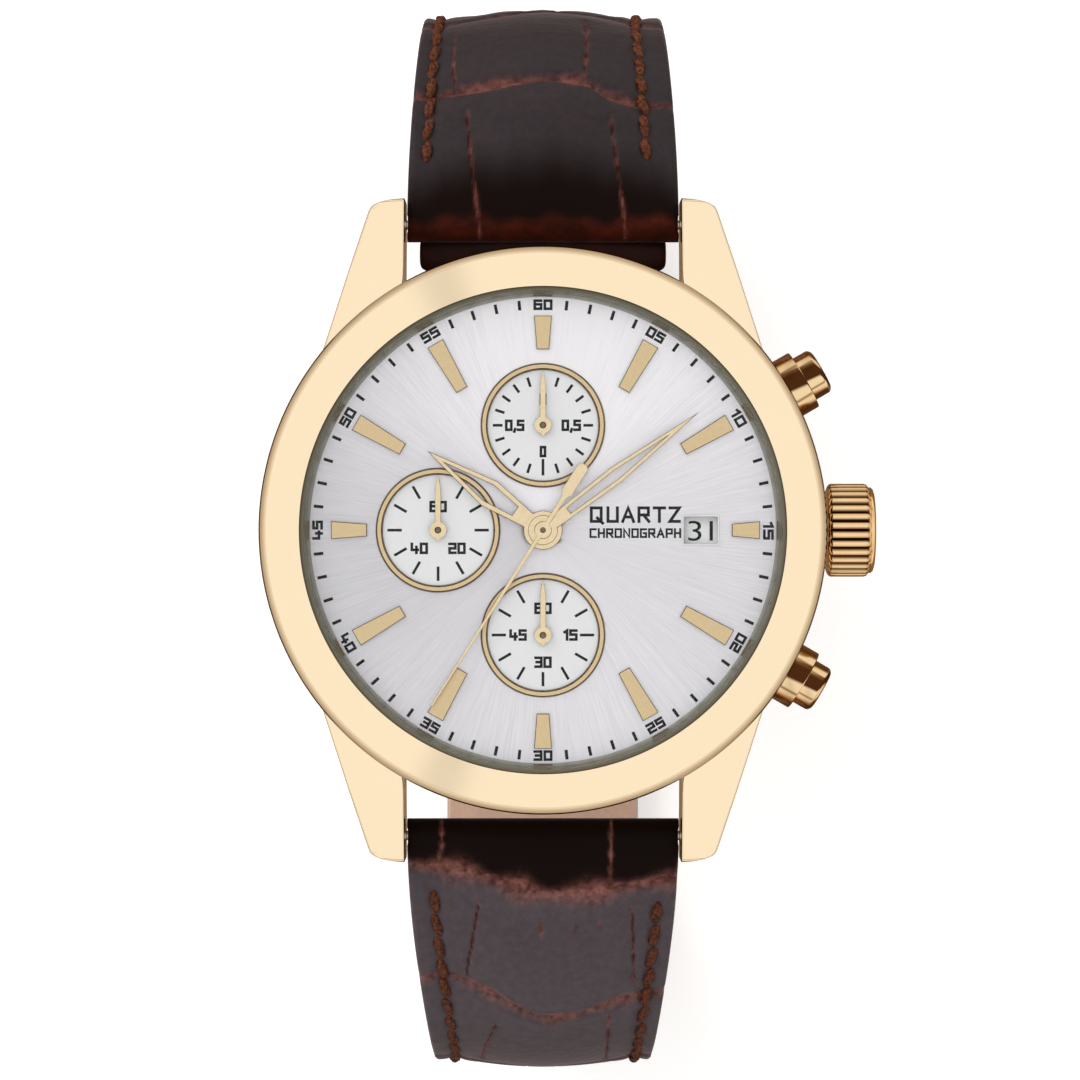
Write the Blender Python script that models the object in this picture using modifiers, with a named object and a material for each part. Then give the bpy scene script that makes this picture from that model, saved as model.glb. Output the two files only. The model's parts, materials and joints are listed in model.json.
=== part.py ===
"""A chronograph wristwatch: a gold-plated case with a quartz movement, on a padded leather strap.

Units are metres and +Z is up. The dial faces +Z, twelve o'clock lies towards +Y and the crown
towards +X. The origin is on the surface that the strap stands on, straight below the dial's centre.
"""

import math

import bmesh
import bpy
from mathutils import Matrix, Vector

MM = 0.001

# Case
BEZEL_RADIUS = 21.0 * MM
CASE_RADIUS = 20.45 * MM
CASE_BORE = 18.7 * MM
CASE_LOW = 36.4 * MM
CASE_TOP = 43.7 * MM
BACK_LOW = 34.8 * MM
LUG_GAP = 20.6 * MM
LUG_TIP_Y = 24.7 * MM
LUG_TIP_OUTER_X = 12.45 * MM
LUG_TAPER = 0.321
SPRING_BAR_Y = 23.0 * MM
SPRING_BAR_Z = 37.5 * MM
SPRING_BAR_RADIUS = 0.75 * MM
DIAL_TOP = 42.5 * MM
DIAL_THICK = 0.4 * MM
DIAL_RADIUS = 18.4 * MM
GLASS_RADIUS = 17.55 * MM

# Controls
CROWN_Z = 40.2 * MM
CROWN_INNER = 21.15 * MM
CROWN_OUTER = 24.7 * MM
CROWN_RADIUS = 3.48 * MM
CROWN_FLUTES = 30
PUSHER_ANGLES = {"pusher_2": 30.0, "pusher_4": -30.0}
PUSHER_OUTER = 24.0 * MM

# Dial furniture
SUBDIAL_OFFSET = 7.78 * MM
SUBDIALS = {"12": (0.0, SUBDIAL_OFFSET), "9": (-SUBDIAL_OFFSET, 0.0), "6": (0.0, -SUBDIAL_OFFSET)}
SUBDIAL_RING_OUTER = 4.65 * MM
SUBDIAL_RING_INNER = 4.08 * MM
DATE_X = 11.7 * MM
HAND_ANGLES = {"hour": 304.4, "minute": 52.9, "second": 212.4}

# Movement: teeth of each wheel and pinion, and where the wheels stand
CENTRE_DISTANCE = 3.6 * MM
ROTOR_DISTANCE = 3.0 * MM
MOTION_DISTANCE = 3.1 * MM
THIRD_ANGLE = 45.0
FIFTH_ANGLE = -35.0
MOTION_ANGLE = 135.0
TOOTH_HEIGHT = 0.9
PINION_TEETH = 8
SECONDS_TEETH = 48
THIRD_TEETH = 60
CENTRE_TEETH = 64
FIFTH_TEETH = 40
CANNON_TEETH = 10
MINUTE_TEETH = 30
HOUR_TEETH = 32
DATE_TEETH = 31

# Strap, with the side view given in a plane of y and z
STRAP_THICK = 2.3 * MM
LINING_THICK = 0.7 * MM
PAD_CROWN = 1.45 * MM
PAD_LENGTH = 42.0 * MM
LUG_END_RADIUS = 1.9 * MM
BUCKLE_END_RADIUS = 1.5 * MM
STRAP_HALF_WIDTH = 10.1 * MM
SIDE_Z = 21.5 * MM
REACH_12 = 39.4 * MM
REACH_6 = 40.7 * MM
HALF_WIDTH_SIDE_12 = 9.4 * MM
HALF_WIDTH_SIDE_6 = 8.6 * MM
HALF_WIDTH_TAIL = 8.0 * MM
TAIL_FLAT_Y = 24.0 * MM
TAIL_CURL_RADIUS = 30.0 * MM
TAIL_CURL_LENGTH = 10.0 * MM
HOLE_PITCH = 6.0 * MM
HOLE_COUNT = 7
BUCKLE_BAR = (5.0 * MM, 9.8 * MM)
BUCKLE_BAR_RADIUS = 0.6 * MM
KEEPER_SEAT = (22.0 * MM, 8.0 * MM)

GAP = 0.05 * MM
WELD = 1e-6
SMOOTH_ANGLE = math.radians(35)


for leftover in list(bpy.data.objects):
    bpy.data.objects.remove(leftover)

parts = bpy.data.collections.new("chronograph_wristwatch")
cutters = bpy.data.collections.new("cutters")
bpy.context.scene.collection.children.link(parts)
bpy.context.scene.collection.children.link(cutters)


# ---------------------------------------------------------------- helpers


def finish(name, colour, roughness, metallic):
    material = bpy.data.materials.new(name)
    material.use_nodes = True
    shader = material.node_tree.nodes["Principled BSDF"]
    shader.inputs["Base Color"].default_value = (*colour, 1.0)
    shader.inputs["Roughness"].default_value = roughness
    shader.inputs["Metallic"].default_value = metallic
    material.diffuse_color = (*colour, 1.0)
    return material


GOLD = finish("polished_gold_plate", (0.90, 0.68, 0.38), 0.12, 1.0)
PALE_GOLD = finish("pale_gold", (0.92, 0.78, 0.50), 0.22, 1.0)
SILVER = finish("sunburst_silver", (0.78, 0.77, 0.77), 0.35, 0.6)
STEEL = finish("steel", (0.55, 0.55, 0.56), 0.3, 1.0)
BRASS = finish("plain_brass", (0.80, 0.62, 0.28), 0.35, 1.0)
GLASS = finish("mineral_glass", (0.95, 0.97, 0.97), 0.03, 0.0)
RUBBER = finish("black_rubber", (0.02, 0.02, 0.02), 0.7, 0.0)
PLASTIC = finish("white_plastic", (0.80, 0.80, 0.78), 0.5, 0.0)
BOARD = finish("green_board", (0.05, 0.22, 0.10), 0.5, 0.0)
COPPER = finish("enamelled_copper", (0.60, 0.25, 0.12), 0.35, 0.8)
LEATHER = finish("dark_brown_leather", (0.045, 0.018, 0.012), 0.35, 0.0)
LINING = finish("tan_lining", (0.55, 0.36, 0.24), 0.6, 0.0)


def place(obj, material, collection=parts):
    obj.data.materials.append(material)
    collection.objects.link(obj)
    return obj


def as_cutter(obj):
    for home in list(obj.users_collection):
        home.objects.unlink(obj)
    cutters.objects.link(obj)
    obj.hide_render = True
    obj.display_type = "WIRE"
    return obj


def radial(angle, height=CROWN_Z):
    """The frame of a piece whose own Z points outwards from the case at this angle."""
    turn = Matrix.Rotation(math.radians(angle), 4, "Z") @ Matrix.Rotation(math.pi / 2, 4, "Y")
    return Matrix.Translation((0.0, 0.0, height)) @ turn


def across(y, z):
    """The frame of a piece turned about a line along X."""
    return Matrix.Translation((0.0, y, z)) @ Matrix.Rotation(math.pi / 2, 4, "Y")


def at(x, y, z=0.0):
    return Matrix.Translation((x, y, z))


def turned(name, profile, material, steps=32, frame=Matrix()):
    """A profile of (radius, height) points, running down its outer side, turned about its own Z."""
    mesh = bpy.data.meshes.new(name)
    rim = [(radius, 0.0, height) for radius, height in profile]
    edges = [(i, i + 1) for i in range(len(rim) - 1)]
    if profile[0][0] > 0.0:
        edges.append((len(rim) - 1, 0))
    mesh.from_pydata(rim, edges, [])
    obj = place(bpy.data.objects.new(name, mesh), material)
    obj.matrix_world = frame
    screw = obj.modifiers.new("turn", "SCREW")
    screw.steps = steps
    screw.render_steps = steps
    screw.use_merge_vertices = True
    screw.merge_threshold = WELD
    screw.use_smooth_shade = True
    return obj


def rod(radius, low, high):
    return [(0.0, high), (radius, high), (radius, low), (0.0, low)]


def ring(inner, outer, low, high):
    return [(inner, high), (outer, high), (outer, low), (inner, low)]


def extruded(name, outlines, low, high, material, frame=Matrix()):
    """Flat outlines, the first one outermost and the others holes in it, drawn out along their own Z."""
    curve = bpy.data.curves.new(name, "CURVE")
    curve.dimensions = "2D"
    curve.fill_mode = "BOTH"
    curve.extrude = (high - low) / 2
    for outline in outlines:
        spline = curve.splines.new("POLY")
        spline.points.add(len(outline) - 1)
        for point, (x, y) in zip(spline.points, outline):
            point.co = (x, y, 0.0, 1.0)
        spline.use_cyclic_u = True
    obj = place(bpy.data.objects.new(name, curve), material)
    obj.matrix_world = frame @ at(0.0, 0.0, (low + high) / 2)
    return obj


def meshed(curve_object):
    """The same solid as a mesh with its caps welded, so that it can be cut or joined."""
    bpy.context.view_layer.update()
    graph = bpy.context.evaluated_depsgraph_get()
    mesh = bpy.data.meshes.new_from_object(curve_object.evaluated_get(graph))
    shape = bmesh.new()
    shape.from_mesh(mesh)
    bmesh.ops.remove_doubles(shape, verts=shape.verts, dist=WELD)
    shape.to_mesh(mesh)
    shape.free()
    name = curve_object.name
    curve_object.name = name + "_outline"
    solid = bpy.data.objects.new(name, mesh)
    parts.objects.link(solid)
    solid.matrix_world = curve_object.matrix_world.copy()
    bpy.data.objects.remove(curve_object)
    return solid


def combine(target, other, operation):
    modifier = target.modifiers.new(other.name, "BOOLEAN")
    modifier.operation = operation
    modifier.solver = "EXACT"
    modifier.object = as_cutter(other)
    return target


def join(target, other):
    return combine(target, other, "UNION")


def cut(target, other):
    return combine(target, other, "DIFFERENCE")


def box(name, low, high, frame=Matrix()):
    shape = bmesh.new()
    bmesh.ops.create_cube(shape, size=1.0)
    size = Vector(high) - Vector(low)
    bmesh.ops.scale(shape, vec=size, verts=shape.verts)
    bmesh.ops.translate(shape, vec=(Vector(low) + Vector(high)) / 2, verts=shape.verts)
    mesh = bpy.data.meshes.new(name)
    shape.to_mesh(mesh)
    shape.free()
    obj = place(bpy.data.objects.new(name, mesh), STEEL)
    obj.matrix_world = frame
    return obj


def circle(radius, count, centre=(0.0, 0.0)):
    turn = 2 * math.pi / count
    return [
        (centre[0] + radius * math.cos(i * turn), centre[1] + radius * math.sin(i * turn))
        for i in range(count)
    ]


def arc(radius, start, end, count, centre=(0.0, 0.0)):
    """Points from the start angle to the end angle, in degrees, both ends included."""
    steps = [math.radians(start + (end - start) * i / (count - 1)) for i in range(count)]
    return [(centre[0] + radius * math.cos(a), centre[1] + radius * math.sin(a)) for a in steps]


# ---------------------------------------------------------------- case


def lug(side_x, side_y):
    """One lug as a side view drawn out from its inner face to its slanting outer face."""
    side_view = [
        (9.0, 43.2), (19.5, 43.0), (22.3, 41.6), (24.0, 39.6), (24.7, 37.4),
        (24.6, 36.2), (24.0, 35.6), (22.3, 35.5), (20.5, 36.2), (9.0, 37.0),
    ]
    shape = bmesh.new()
    inner, outer = [], []
    for y_mm, z_mm in side_view:
        y, z = y_mm * MM, z_mm * MM
        outer_x = LUG_TIP_OUTER_X + LUG_TAPER * (LUG_TIP_Y - y)
        inner.append(shape.verts.new((side_x * LUG_GAP / 2, side_y * y, z)))
        outer.append(shape.verts.new((side_x * outer_x, side_y * y, z)))
    count = len(side_view)
    shape.faces.new(inner)
    shape.faces.new(outer)
    for i in range(count):
        j = (i + 1) % count
        shape.faces.new((inner[i], inner[j], outer[j], outer[i]))
    bmesh.ops.recalc_face_normals(shape, faces=shape.faces)
    name = f"lug_{'e' if side_x > 0 else 'w'}{'n' if side_y > 0 else 's'}"
    mesh = bpy.data.meshes.new(name)
    shape.to_mesh(mesh)
    shape.free()
    return place(bpy.data.objects.new(name, mesh), GOLD)


def case_middle():
    chamfer_z = 38.2 * MM
    foot_radius = 19.9 * MM
    profile = [
        (0.0, CASE_TOP), (CASE_RADIUS, CASE_TOP), (CASE_RADIUS, chamfer_z),
        (foot_radius, CASE_LOW), (0.0, CASE_LOW),
    ]
    case = turned("case_middle", profile, GOLD, 48)
    for side_x in (-1, 1):
        for side_y in (-1, 1):
            join(case, lug(side_x, side_y))
    cut(case, turned("case_bore", rod(CASE_BORE, 30 * MM, 50 * MM), GOLD, 48))
    cut(case, turned("crown_tube_hole", rod(1.3 * MM, 17 * MM, 22 * MM), GOLD, 16, radial(0.0)))
    for name, angle in PUSHER_ANGLES.items():
        hole = turned(f"{name}_hole", rod(1.15 * MM, 17 * MM, 22 * MM), GOLD, 16, radial(angle))
        cut(case, hole)
    for side in (-1, 1):
        frame = across(side * SPRING_BAR_Y, SPRING_BAR_Z)
        hole = turned(f"spring_bar_hole_{side + 1}", rod(0.5 * MM, -11.3 * MM, 11.3 * MM), GOLD, 12, frame)
        cut(case, hole)
    return case


def bezel():
    profile = [
        (17.90, 45.85), (20.50, 45.05), (21.00, 44.55), (21.00, 44.00),
        (20.70, 43.75), (18.00, 43.75), (18.00, 45.50),
    ]
    return turned("bezel", [(r * MM, z * MM) for r, z in profile], GOLD, 56)


def crystal():
    top = 45.6 * MM
    edge = 0.2 * MM
    low = 44.15 * MM
    profile = [
        (0.0, top), (GLASS_RADIUS - edge, top), (GLASS_RADIUS, top - edge), (GLASS_RADIUS, low), (0.0, low),
    ]
    return turned("crystal", profile, GLASS, 36)


def case_seals():
    turned("crystal_gasket", ring(17.62 * MM, 17.94 * MM, 43.95 * MM, 45.4 * MM), PLASTIC, 36)
    turned("case_back_gasket", ring(18.8 * MM, 19.3 * MM, 36.14 * MM, 36.36 * MM), RUBBER, 28)


def flange_ring():
    profile = [(17.50, 43.88), (17.90, 43.88), (17.90, 42.56), (17.10, 42.56)]
    turned("flange_ring", [(r * MM, z * MM) for r, z in profile], SILVER, 36)


def case_back():
    profile = [
        (0.0, 35.95), (16.8, 35.95), (16.8, 36.95), (18.4, 36.95), (18.4, 36.10),
        (19.35, 36.10), (19.35, 35.50), (18.55, 34.90), (0.0, 34.80),
    ]
    back = turned("case_back", [(r * MM, z * MM) for r, z in profile], STEEL, 36)
    for i in range(6):
        frame = Matrix.Rotation(math.radians(30 + 60 * i), 4, "Z")
        low = (16.9 * MM, -1.3 * MM, 34.0 * MM)
        high = (20.0 * MM, 1.3 * MM, 35.35 * MM)
        cut(back, box(f"wrench_notch_{i}", low, high, frame))


def lug_spring_bars():
    half, pivot = 10.0 * MM, 11.0 * MM
    profile = [
        (0.0, pivot), (0.35 * MM, pivot), (0.35 * MM, half), (SPRING_BAR_RADIUS, half),
        (SPRING_BAR_RADIUS, -half), (0.35 * MM, -half), (0.35 * MM, -pivot), (0.0, -pivot),
    ]
    for hour, side in (("12", 1), ("6", -1)):
        turned(f"lug_spring_bar_{hour}", profile, STEEL, 12, across(side * SPRING_BAR_Y, SPRING_BAR_Z))


# ---------------------------------------------------------------- crown and pushers


def crown():
    """A fluted knob with a bevelled end disc, hollow over its tube and bored for the stem."""
    flute = 360.0 / CROWN_FLUTES
    root = CROWN_RADIUS - 0.28 * MM
    outline = []
    for i in range(CROWN_FLUTES):
        outline += arc(CROWN_RADIUS, i * flute - 0.28 * flute, i * flute + 0.28 * flute, 2)
        outline += arc(root, (i + 0.5) * flute, (i + 0.5) * flute, 2)[:1]
    knob = meshed(extruded("crown", [outline], CROWN_INNER, CROWN_OUTER - 0.35 * MM, GOLD, radial(0.0)))
    knob.data.materials.append(GOLD)
    end = [
        (0.0, CROWN_OUTER), (2.85 * MM, CROWN_OUTER), (3.2 * MM, CROWN_OUTER - 0.3 * MM),
        (3.2 * MM, CROWN_OUTER - 0.6 * MM), (0.0, CROWN_OUTER - 0.6 * MM),
    ]
    join(knob, turned("crown_end", end, GOLD, 30, radial(0.0)))
    cut(knob, turned("crown_cavity", rod(1.8 * MM, 20 * MM, 23.3 * MM), GOLD, 20, radial(0.0)))
    cut(knob, turned("crown_thread", rod(0.58 * MM, 23 * MM, 24.2 * MM), GOLD, 12, radial(0.0)))


def crown_fittings():
    turned("crown_tube", ring(0.7 * MM, 1.22 * MM, 18.9 * MM, 22.95 * MM), STEEL, 16, radial(0.0))
    turned("crown_gasket", ring(1.28 * MM, 1.72 * MM, 21.4 * MM, 21.8 * MM), RUBBER, 20, radial(0.0))
    turned("winding_stem", rod(0.5 * MM, 7.0 * MM, 24.1 * MM), STEEL, 12, radial(0.0))


def pusher(name, angle):
    """A pusher's fixed tube, its sliding cap and stem, its return spring and its retaining clip."""
    frame = radial(angle)
    collar = [
        (1.85, 22.5), (2.32, 22.5), (2.32, 20.5), (1.1, 20.5),
        (1.1, 18.9), (0.55, 18.9), (0.55, 20.75), (1.85, 20.75),
    ]
    turned(f"{name}_tube", [(r * MM, u * MM) for r, u in collar], GOLD, 18, frame)
    cap = [(0.0, 24.0), (1.45, 24.0), (1.775, 23.7), (1.775, 22.1), (0.45, 22.1), (0.45, 17.6), (0.0, 17.6)]
    turned(name, [(r * MM, u * MM) for r, u in cap], GOLD, 18, frame)
    turned(f"{name}_clip", ring(0.5 * MM, 0.95 * MM, 18.45 * MM, 18.65 * MM), STEEL, 12, frame)
    coil(f"{name}_spring", 1.25 * MM, 20.87 * MM, 21.98 * MM, frame)


def coil(name, radius, low, high, frame):
    turns, steps, wire = 3, 10, 0.07 * MM
    curve = bpy.data.curves.new(name, "CURVE")
    curve.dimensions = "3D"
    curve.bevel_depth = wire
    curve.bevel_resolution = 1
    curve.use_fill_caps = True
    spline = curve.splines.new("POLY")
    spline.points.add(turns * steps)
    for i, point in enumerate(spline.points):
        angle = 2 * math.pi * i / steps
        height = low + (high - low) * i / (turns * steps)
        point.co = (radius * math.cos(angle), radius * math.sin(angle), height, 1.0)
    place(bpy.data.objects.new(name, curve), STEEL).matrix_world = frame


# ---------------------------------------------------------------- dial and hands


def marker_outline(hour):
    """A tapered baton pointing at the centre, wider at its outer end."""
    inner, outer = {12: (13.4, 15.9), 6: (13.6, 16.2), 9: (13.05, 15.7), 3: (14.0, 16.07)}.get(hour, (12.0, 15.97))
    turn = Matrix.Rotation(math.radians(-30.0 * hour), 3, "Z")
    corners = [(-0.465, inner), (0.465, inner), (0.66, outer), (-0.66, outer)]
    return [(turn @ Vector((x * MM, y * MM, 0.0))).xy for x, y in corners]


def dial():
    """The dial plate with its applied markers riveted on, and its holes for the hands and the date."""
    plate = turned("dial", rod(DIAL_RADIUS, DIAL_TOP - DIAL_THICK, DIAL_TOP), SILVER, 48)
    for hour in range(1, 13):
        baton = extruded(
            f"marker_{hour}", [marker_outline(hour)], DIAL_TOP - 0.2 * MM, DIAL_TOP + 0.4 * MM, PALE_GOLD
        )
        join(plate, meshed(baton))
    low, high = DIAL_TOP - 2 * MM, DIAL_TOP + 2 * MM
    cut(plate, turned("centre_hole", rod(0.95 * MM, low, high), SILVER, 16))
    for hour, (x, y) in SUBDIALS.items():
        cut(plate, turned(f"subdial_hole_{hour}", rod(0.4 * MM, low, high), SILVER, 10, at(x, y)))
    window_low = (DATE_X - 1.25 * MM, -1.0 * MM, low)
    window_high = (DATE_X + 1.25 * MM, 1.0 * MM, high)
    cut(plate, box("date_window", window_low, window_high))


def subdial_ring(hour, x, y):
    base, top = DIAL_TOP + GAP, DIAL_TOP + 0.35 * MM
    bevel = 0.12 * MM
    profile = [
        (SUBDIAL_RING_INNER + bevel, top), (SUBDIAL_RING_OUTER - bevel, top),
        (SUBDIAL_RING_OUTER, base), (SUBDIAL_RING_INNER, base),
    ]
    turned(f"subdial_ring_{hour}", profile, PALE_GOLD, 28, at(x, y))


def hand_frame(angle):
    """The frame of a hand drawn pointing along its own +Y, turned clockwise from twelve o'clock."""
    return Matrix.Rotation(math.radians(-angle), 4, "Z")


def blade_outline(hub, half_widths, tail=()):
    """A hand: a round hub, a blade of (distance, half width) points to its tip, and an optional tail."""
    right = [(w, d) for d, w in half_widths]
    left = [(-w, d) for d, w in reversed(half_widths) if w > 0.0]
    start = math.degrees(math.asin(half_widths[0][1] / hub))
    if not tail:
        return right + left + arc(hub, 90 + start + 20, 450 - start - 20, 14)
    turn = math.degrees(math.asin(tail[0][1] / hub))
    hub_left = arc(hub, 90 + start + 20, 270 - turn - 20, 5)
    hub_right = arc(hub, 270 + turn + 20, 450 - start - 20, 5)
    tail_left = [(-w, -d) for d, w in tail]
    tail_right = [(w, -d) for d, w in reversed(tail) if w > 0.0]
    return right + left + hub_left + tail_left + tail_right + hub_right


def hand(name, angle, hub, blade, bore, low, high, window=None, tail=(), centre=(0.0, 0.0)):
    scaled = [(d * MM, w * MM) for d, w in blade]
    outlines = [blade_outline(hub * MM, scaled, [(d * MM, w * MM) for d, w in tail])]
    outlines.append(circle(bore * MM, 14))
    if window:
        cut_out = [(w * MM, d * MM) for d, w in window]
        outlines.append(cut_out + [(-x, y) for x, y in reversed(cut_out) if x > 0.0])
    frame = at(*centre) @ hand_frame(angle)
    extruded(name, outlines, low * MM, high * MM, PALE_GOLD, frame)


def hands():
    hand(
        "hour_hand", HAND_ANGLES["hour"], 1.44, [(1.3, 0.6), (4.8, 1.07), (10.4, 0.0)], 0.81, 43.15, 43.35,
        window=[(2.5, 0.42), (4.9, 0.74), (8.97, 0.0)],
    )
    hand(
        "minute_hand", HAND_ANGLES["minute"], 1.1, [(0.95, 0.5), (6.75, 0.665), (14.5, 0.0)], 0.48, 43.5, 43.68,
        window=[(2.37, 0.27), (6.8, 0.385), (11.7, 0.0)],
    )
    hand(
        "second_hand", HAND_ANGLES["second"], 0.62, [(0.6, 0.14), (15.4, 0.05)], 0.19, 43.85, 43.97,
        tail=[(0.6, 0.16), (2.9, 0.18), (3.3, 0.42), (5.4, 0.42), (5.75, 0.2)],
    )
    for hour, centre in SUBDIALS.items():
        hand(
            f"subdial_hand_{hour}", 0.0, 0.64, [(0.6, 0.2), (3.0, 0.2), (4.0, 0.04)], 0.24, 42.93, 43.03,
            centre=centre,
        )


# ---------------------------------------------------------------- movement


def toothed(teeth, module, phase, bore):
    """A wheel's outline with pointed teeth, one of them centred on the phase angle, and its bore."""
    pitch = teeth * module / 2
    tip, root = pitch + TOOTH_HEIGHT * module, pitch - module
    step = 360.0 / teeth
    rim = []
    for i in range(teeth):
        rim += arc(tip, phase + i * step, phase + i * step, 2)[:1]
        rim += arc(root, phase + (i + 0.5) * step, phase + (i + 0.5) * step, 2)[:1]
    return [rim, circle(bore, 10)]


def wheel(name, pieces, arbor, centre=(0.0, 0.0), tube=0.0):
    """Wheels and pinions of (teeth, module, phase, low, high) joined to an arbor, or to a tube."""
    radius, low, high = (value * MM for value in arbor)
    bore = (radius + tube * MM) / 2
    profile = ring(tube * MM, radius, low, high) if tube else rod(radius, low, high)
    spindle = turned(name, profile, BRASS, 12, at(*centre))
    for i, (teeth, module, phase, base, top) in enumerate(pieces):
        outline = toothed(teeth, module, phase, bore)
        blank = extruded(f"{name}_blank_{i}", outline, base * MM, top * MM, BRASS, at(*centre))
        join(spindle, meshed(blank))


def meshing(angle, teeth):
    """The phase that puts a gap between teeth where another wheel's tooth points back along the angle."""
    return angle + 180.0 + 180.0 / teeth


def on_angle(distance, angle):
    return (distance * math.cos(math.radians(angle)), distance * math.sin(math.radians(angle)))


def going_train():
    third_module = 2 * CENTRE_DISTANCE / (PINION_TEETH + THIRD_TEETH)
    centre_module = 2 * CENTRE_DISTANCE / (PINION_TEETH + CENTRE_TEETH)
    seconds_module = 2 * CENTRE_DISTANCE / (PINION_TEETH + SECONDS_TEETH)
    fifth_module = 2 * ROTOR_DISTANCE / (PINION_TEETH + FIFTH_TEETH)
    third = on_angle(CENTRE_DISTANCE, THIRD_ANGLE)
    fifth = on_angle(CENTRE_DISTANCE, FIFTH_ANGLE)
    rotor = on_angle(CENTRE_DISTANCE + ROTOR_DISTANCE, FIFTH_ANGLE)
    wheel(
        "seconds_wheel",
        [
            (SECONDS_TEETH, seconds_module, FIFTH_ANGLE, 38.85, 39.05),
            (PINION_TEETH, third_module, THIRD_ANGLE, 38.35, 38.75),
        ],
        (0.16, 38.22, 44.05),
    )
    wheel(
        "third_wheel",
        [
            (THIRD_TEETH, third_module, meshing(THIRD_ANGLE, THIRD_TEETH), 38.45, 38.65),
            (PINION_TEETH, centre_module, meshing(THIRD_ANGLE, PINION_TEETH), 39.3, 39.65),
        ],
        (0.15, 38.22, 39.85), third,
    )
    wheel(
        "fifth_wheel",
        [
            (FIFTH_TEETH, fifth_module, FIFTH_ANGLE, 39.12, 39.28),
            (PINION_TEETH, seconds_module, meshing(FIFTH_ANGLE, PINION_TEETH), 38.8, 39.08),
        ],
        (0.15, 38.22, 39.85), fifth,
    )
    wheel(
        "rotor", [(PINION_TEETH, fifth_module, meshing(FIFTH_ANGLE, PINION_TEETH), 39.08, 39.32)],
        (0.15, 38.22, 39.85), rotor,
    )
    magnet = turned("rotor_magnet", rod(1.3 * MM, 38.4 * MM, 38.9 * MM), STEEL, 20, at(*rotor))
    join(bpy.data.objects["rotor"], magnet)
    centre_outline = toothed(CENTRE_TEETH, centre_module, THIRD_ANGLE, 0.5 * MM)
    extruded("centre_wheel", centre_outline, 39.36 * MM, 39.56 * MM, BRASS)


def motion_works():
    cannon_module = 2 * MOTION_DISTANCE / (CANNON_TEETH + MINUTE_TEETH)
    hour_module = 2 * MOTION_DISTANCE / (PINION_TEETH + HOUR_TEETH)
    wheel(
        "cannon_pinion", [(CANNON_TEETH, cannon_module, MOTION_ANGLE, 41.4, 41.6)],
        (0.45, 39.2, 43.74), tube=0.22,
    )
    wheel(
        "minute_wheel",
        [
            (MINUTE_TEETH, cannon_module, meshing(MOTION_ANGLE, MINUTE_TEETH), 41.42, 41.58),
            (PINION_TEETH, hour_module, meshing(MOTION_ANGLE, PINION_TEETH), 41.66, 42.0),
        ],
        (0.15, 41.34, 42.03), on_angle(MOTION_DISTANCE, MOTION_ANGLE),
    )
    wheel(
        "hour_wheel", [(HOUR_TEETH, hour_module, MOTION_ANGLE, 41.72, 41.92)],
        (0.78, 41.68, 43.42), tube=0.52,
    )


def chronograph_wheels():
    module, teeth = 0.2 * MM, 18
    for name, hour in (("fraction_wheel", "12"), ("minute_counter_wheel", "9"), ("chrono_seconds_wheel", "6")):
        wheel(name, [(teeth, module, 0.0, 39.1, 39.3)], (0.2, 38.22, 43.06), SUBDIALS[hour])


def date_disc():
    outer, root, tip = 14.6 * MM, 10.9 * MM, 10.3 * MM
    step = 360.0 / DATE_TEETH
    teeth = []
    for i in range(DATE_TEETH):
        teeth += arc(tip, i * step, i * step, 2)[:1]
        teeth += arc(root, (i + 0.5) * step, (i + 0.5) * step, 2)[:1]
    extruded("date_disc", [circle(outer, 31), teeth], 41.65 * MM, 41.9 * MM, PLASTIC)


def main_plate():
    plate = turned("main_plate", rod(15.0 * MM, 39.95 * MM, 41.3 * MM), BRASS, 32)
    cut(plate, turned("centre_clearance", rod(0.65 * MM, 35 * MM, 45 * MM), BRASS, 14))
    for hour, (x, y) in SUBDIALS.items():
        cut(plate, turned(f"arbor_clearance_{hour}", rod(0.38 * MM, 35 * MM, 45 * MM), BRASS, 10, at(x, y)))
    low, high = (6.8 * MM, -0.8 * MM, 39.0 * MM), (16.0 * MM, 0.8 * MM, 41.0 * MM)
    cut(plate, box("stem_channel", low, high))


def movement_holder():
    holder = turned("movement_holder", ring(15.25 * MM, 18.45 * MM, 37.05 * MM, 41.95 * MM), PLASTIC, 32)
    for name, angle in {"stem": 0.0, **PUSHER_ANGLES}.items():
        low, high = (13.5 * MM, -1.15 * MM, 39.0 * MM), (20.0 * MM, 1.15 * MM, 41.3 * MM)
        cut(holder, box(f"{name}_slot", low, high, Matrix.Rotation(math.radians(angle), 4, "Z")))


def movement_parts():
    battery_spot = (-6.9 * MM, -6.9 * MM)
    turned("train_bridge", rod(6.2 * MM, 37.55 * MM, 38.15 * MM), BRASS, 28, at(1.5 * MM, -0.3 * MM))
    profile = [(0.0, 39.6), (3.4, 39.6), (3.4, 39.3), (3.95, 39.1), (3.95, 37.2), (0.0, 37.2)]
    turned("battery", [(r * MM, z * MM) for r, z in profile], STEEL, 28, at(*battery_spot))
    outlines = [circle(14.3 * MM, 40), circle(4.2 * MM, 24, battery_spot)]
    extruded("circuit_board", outlines, 37.12 * MM, 37.42 * MM, BOARD)


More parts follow.
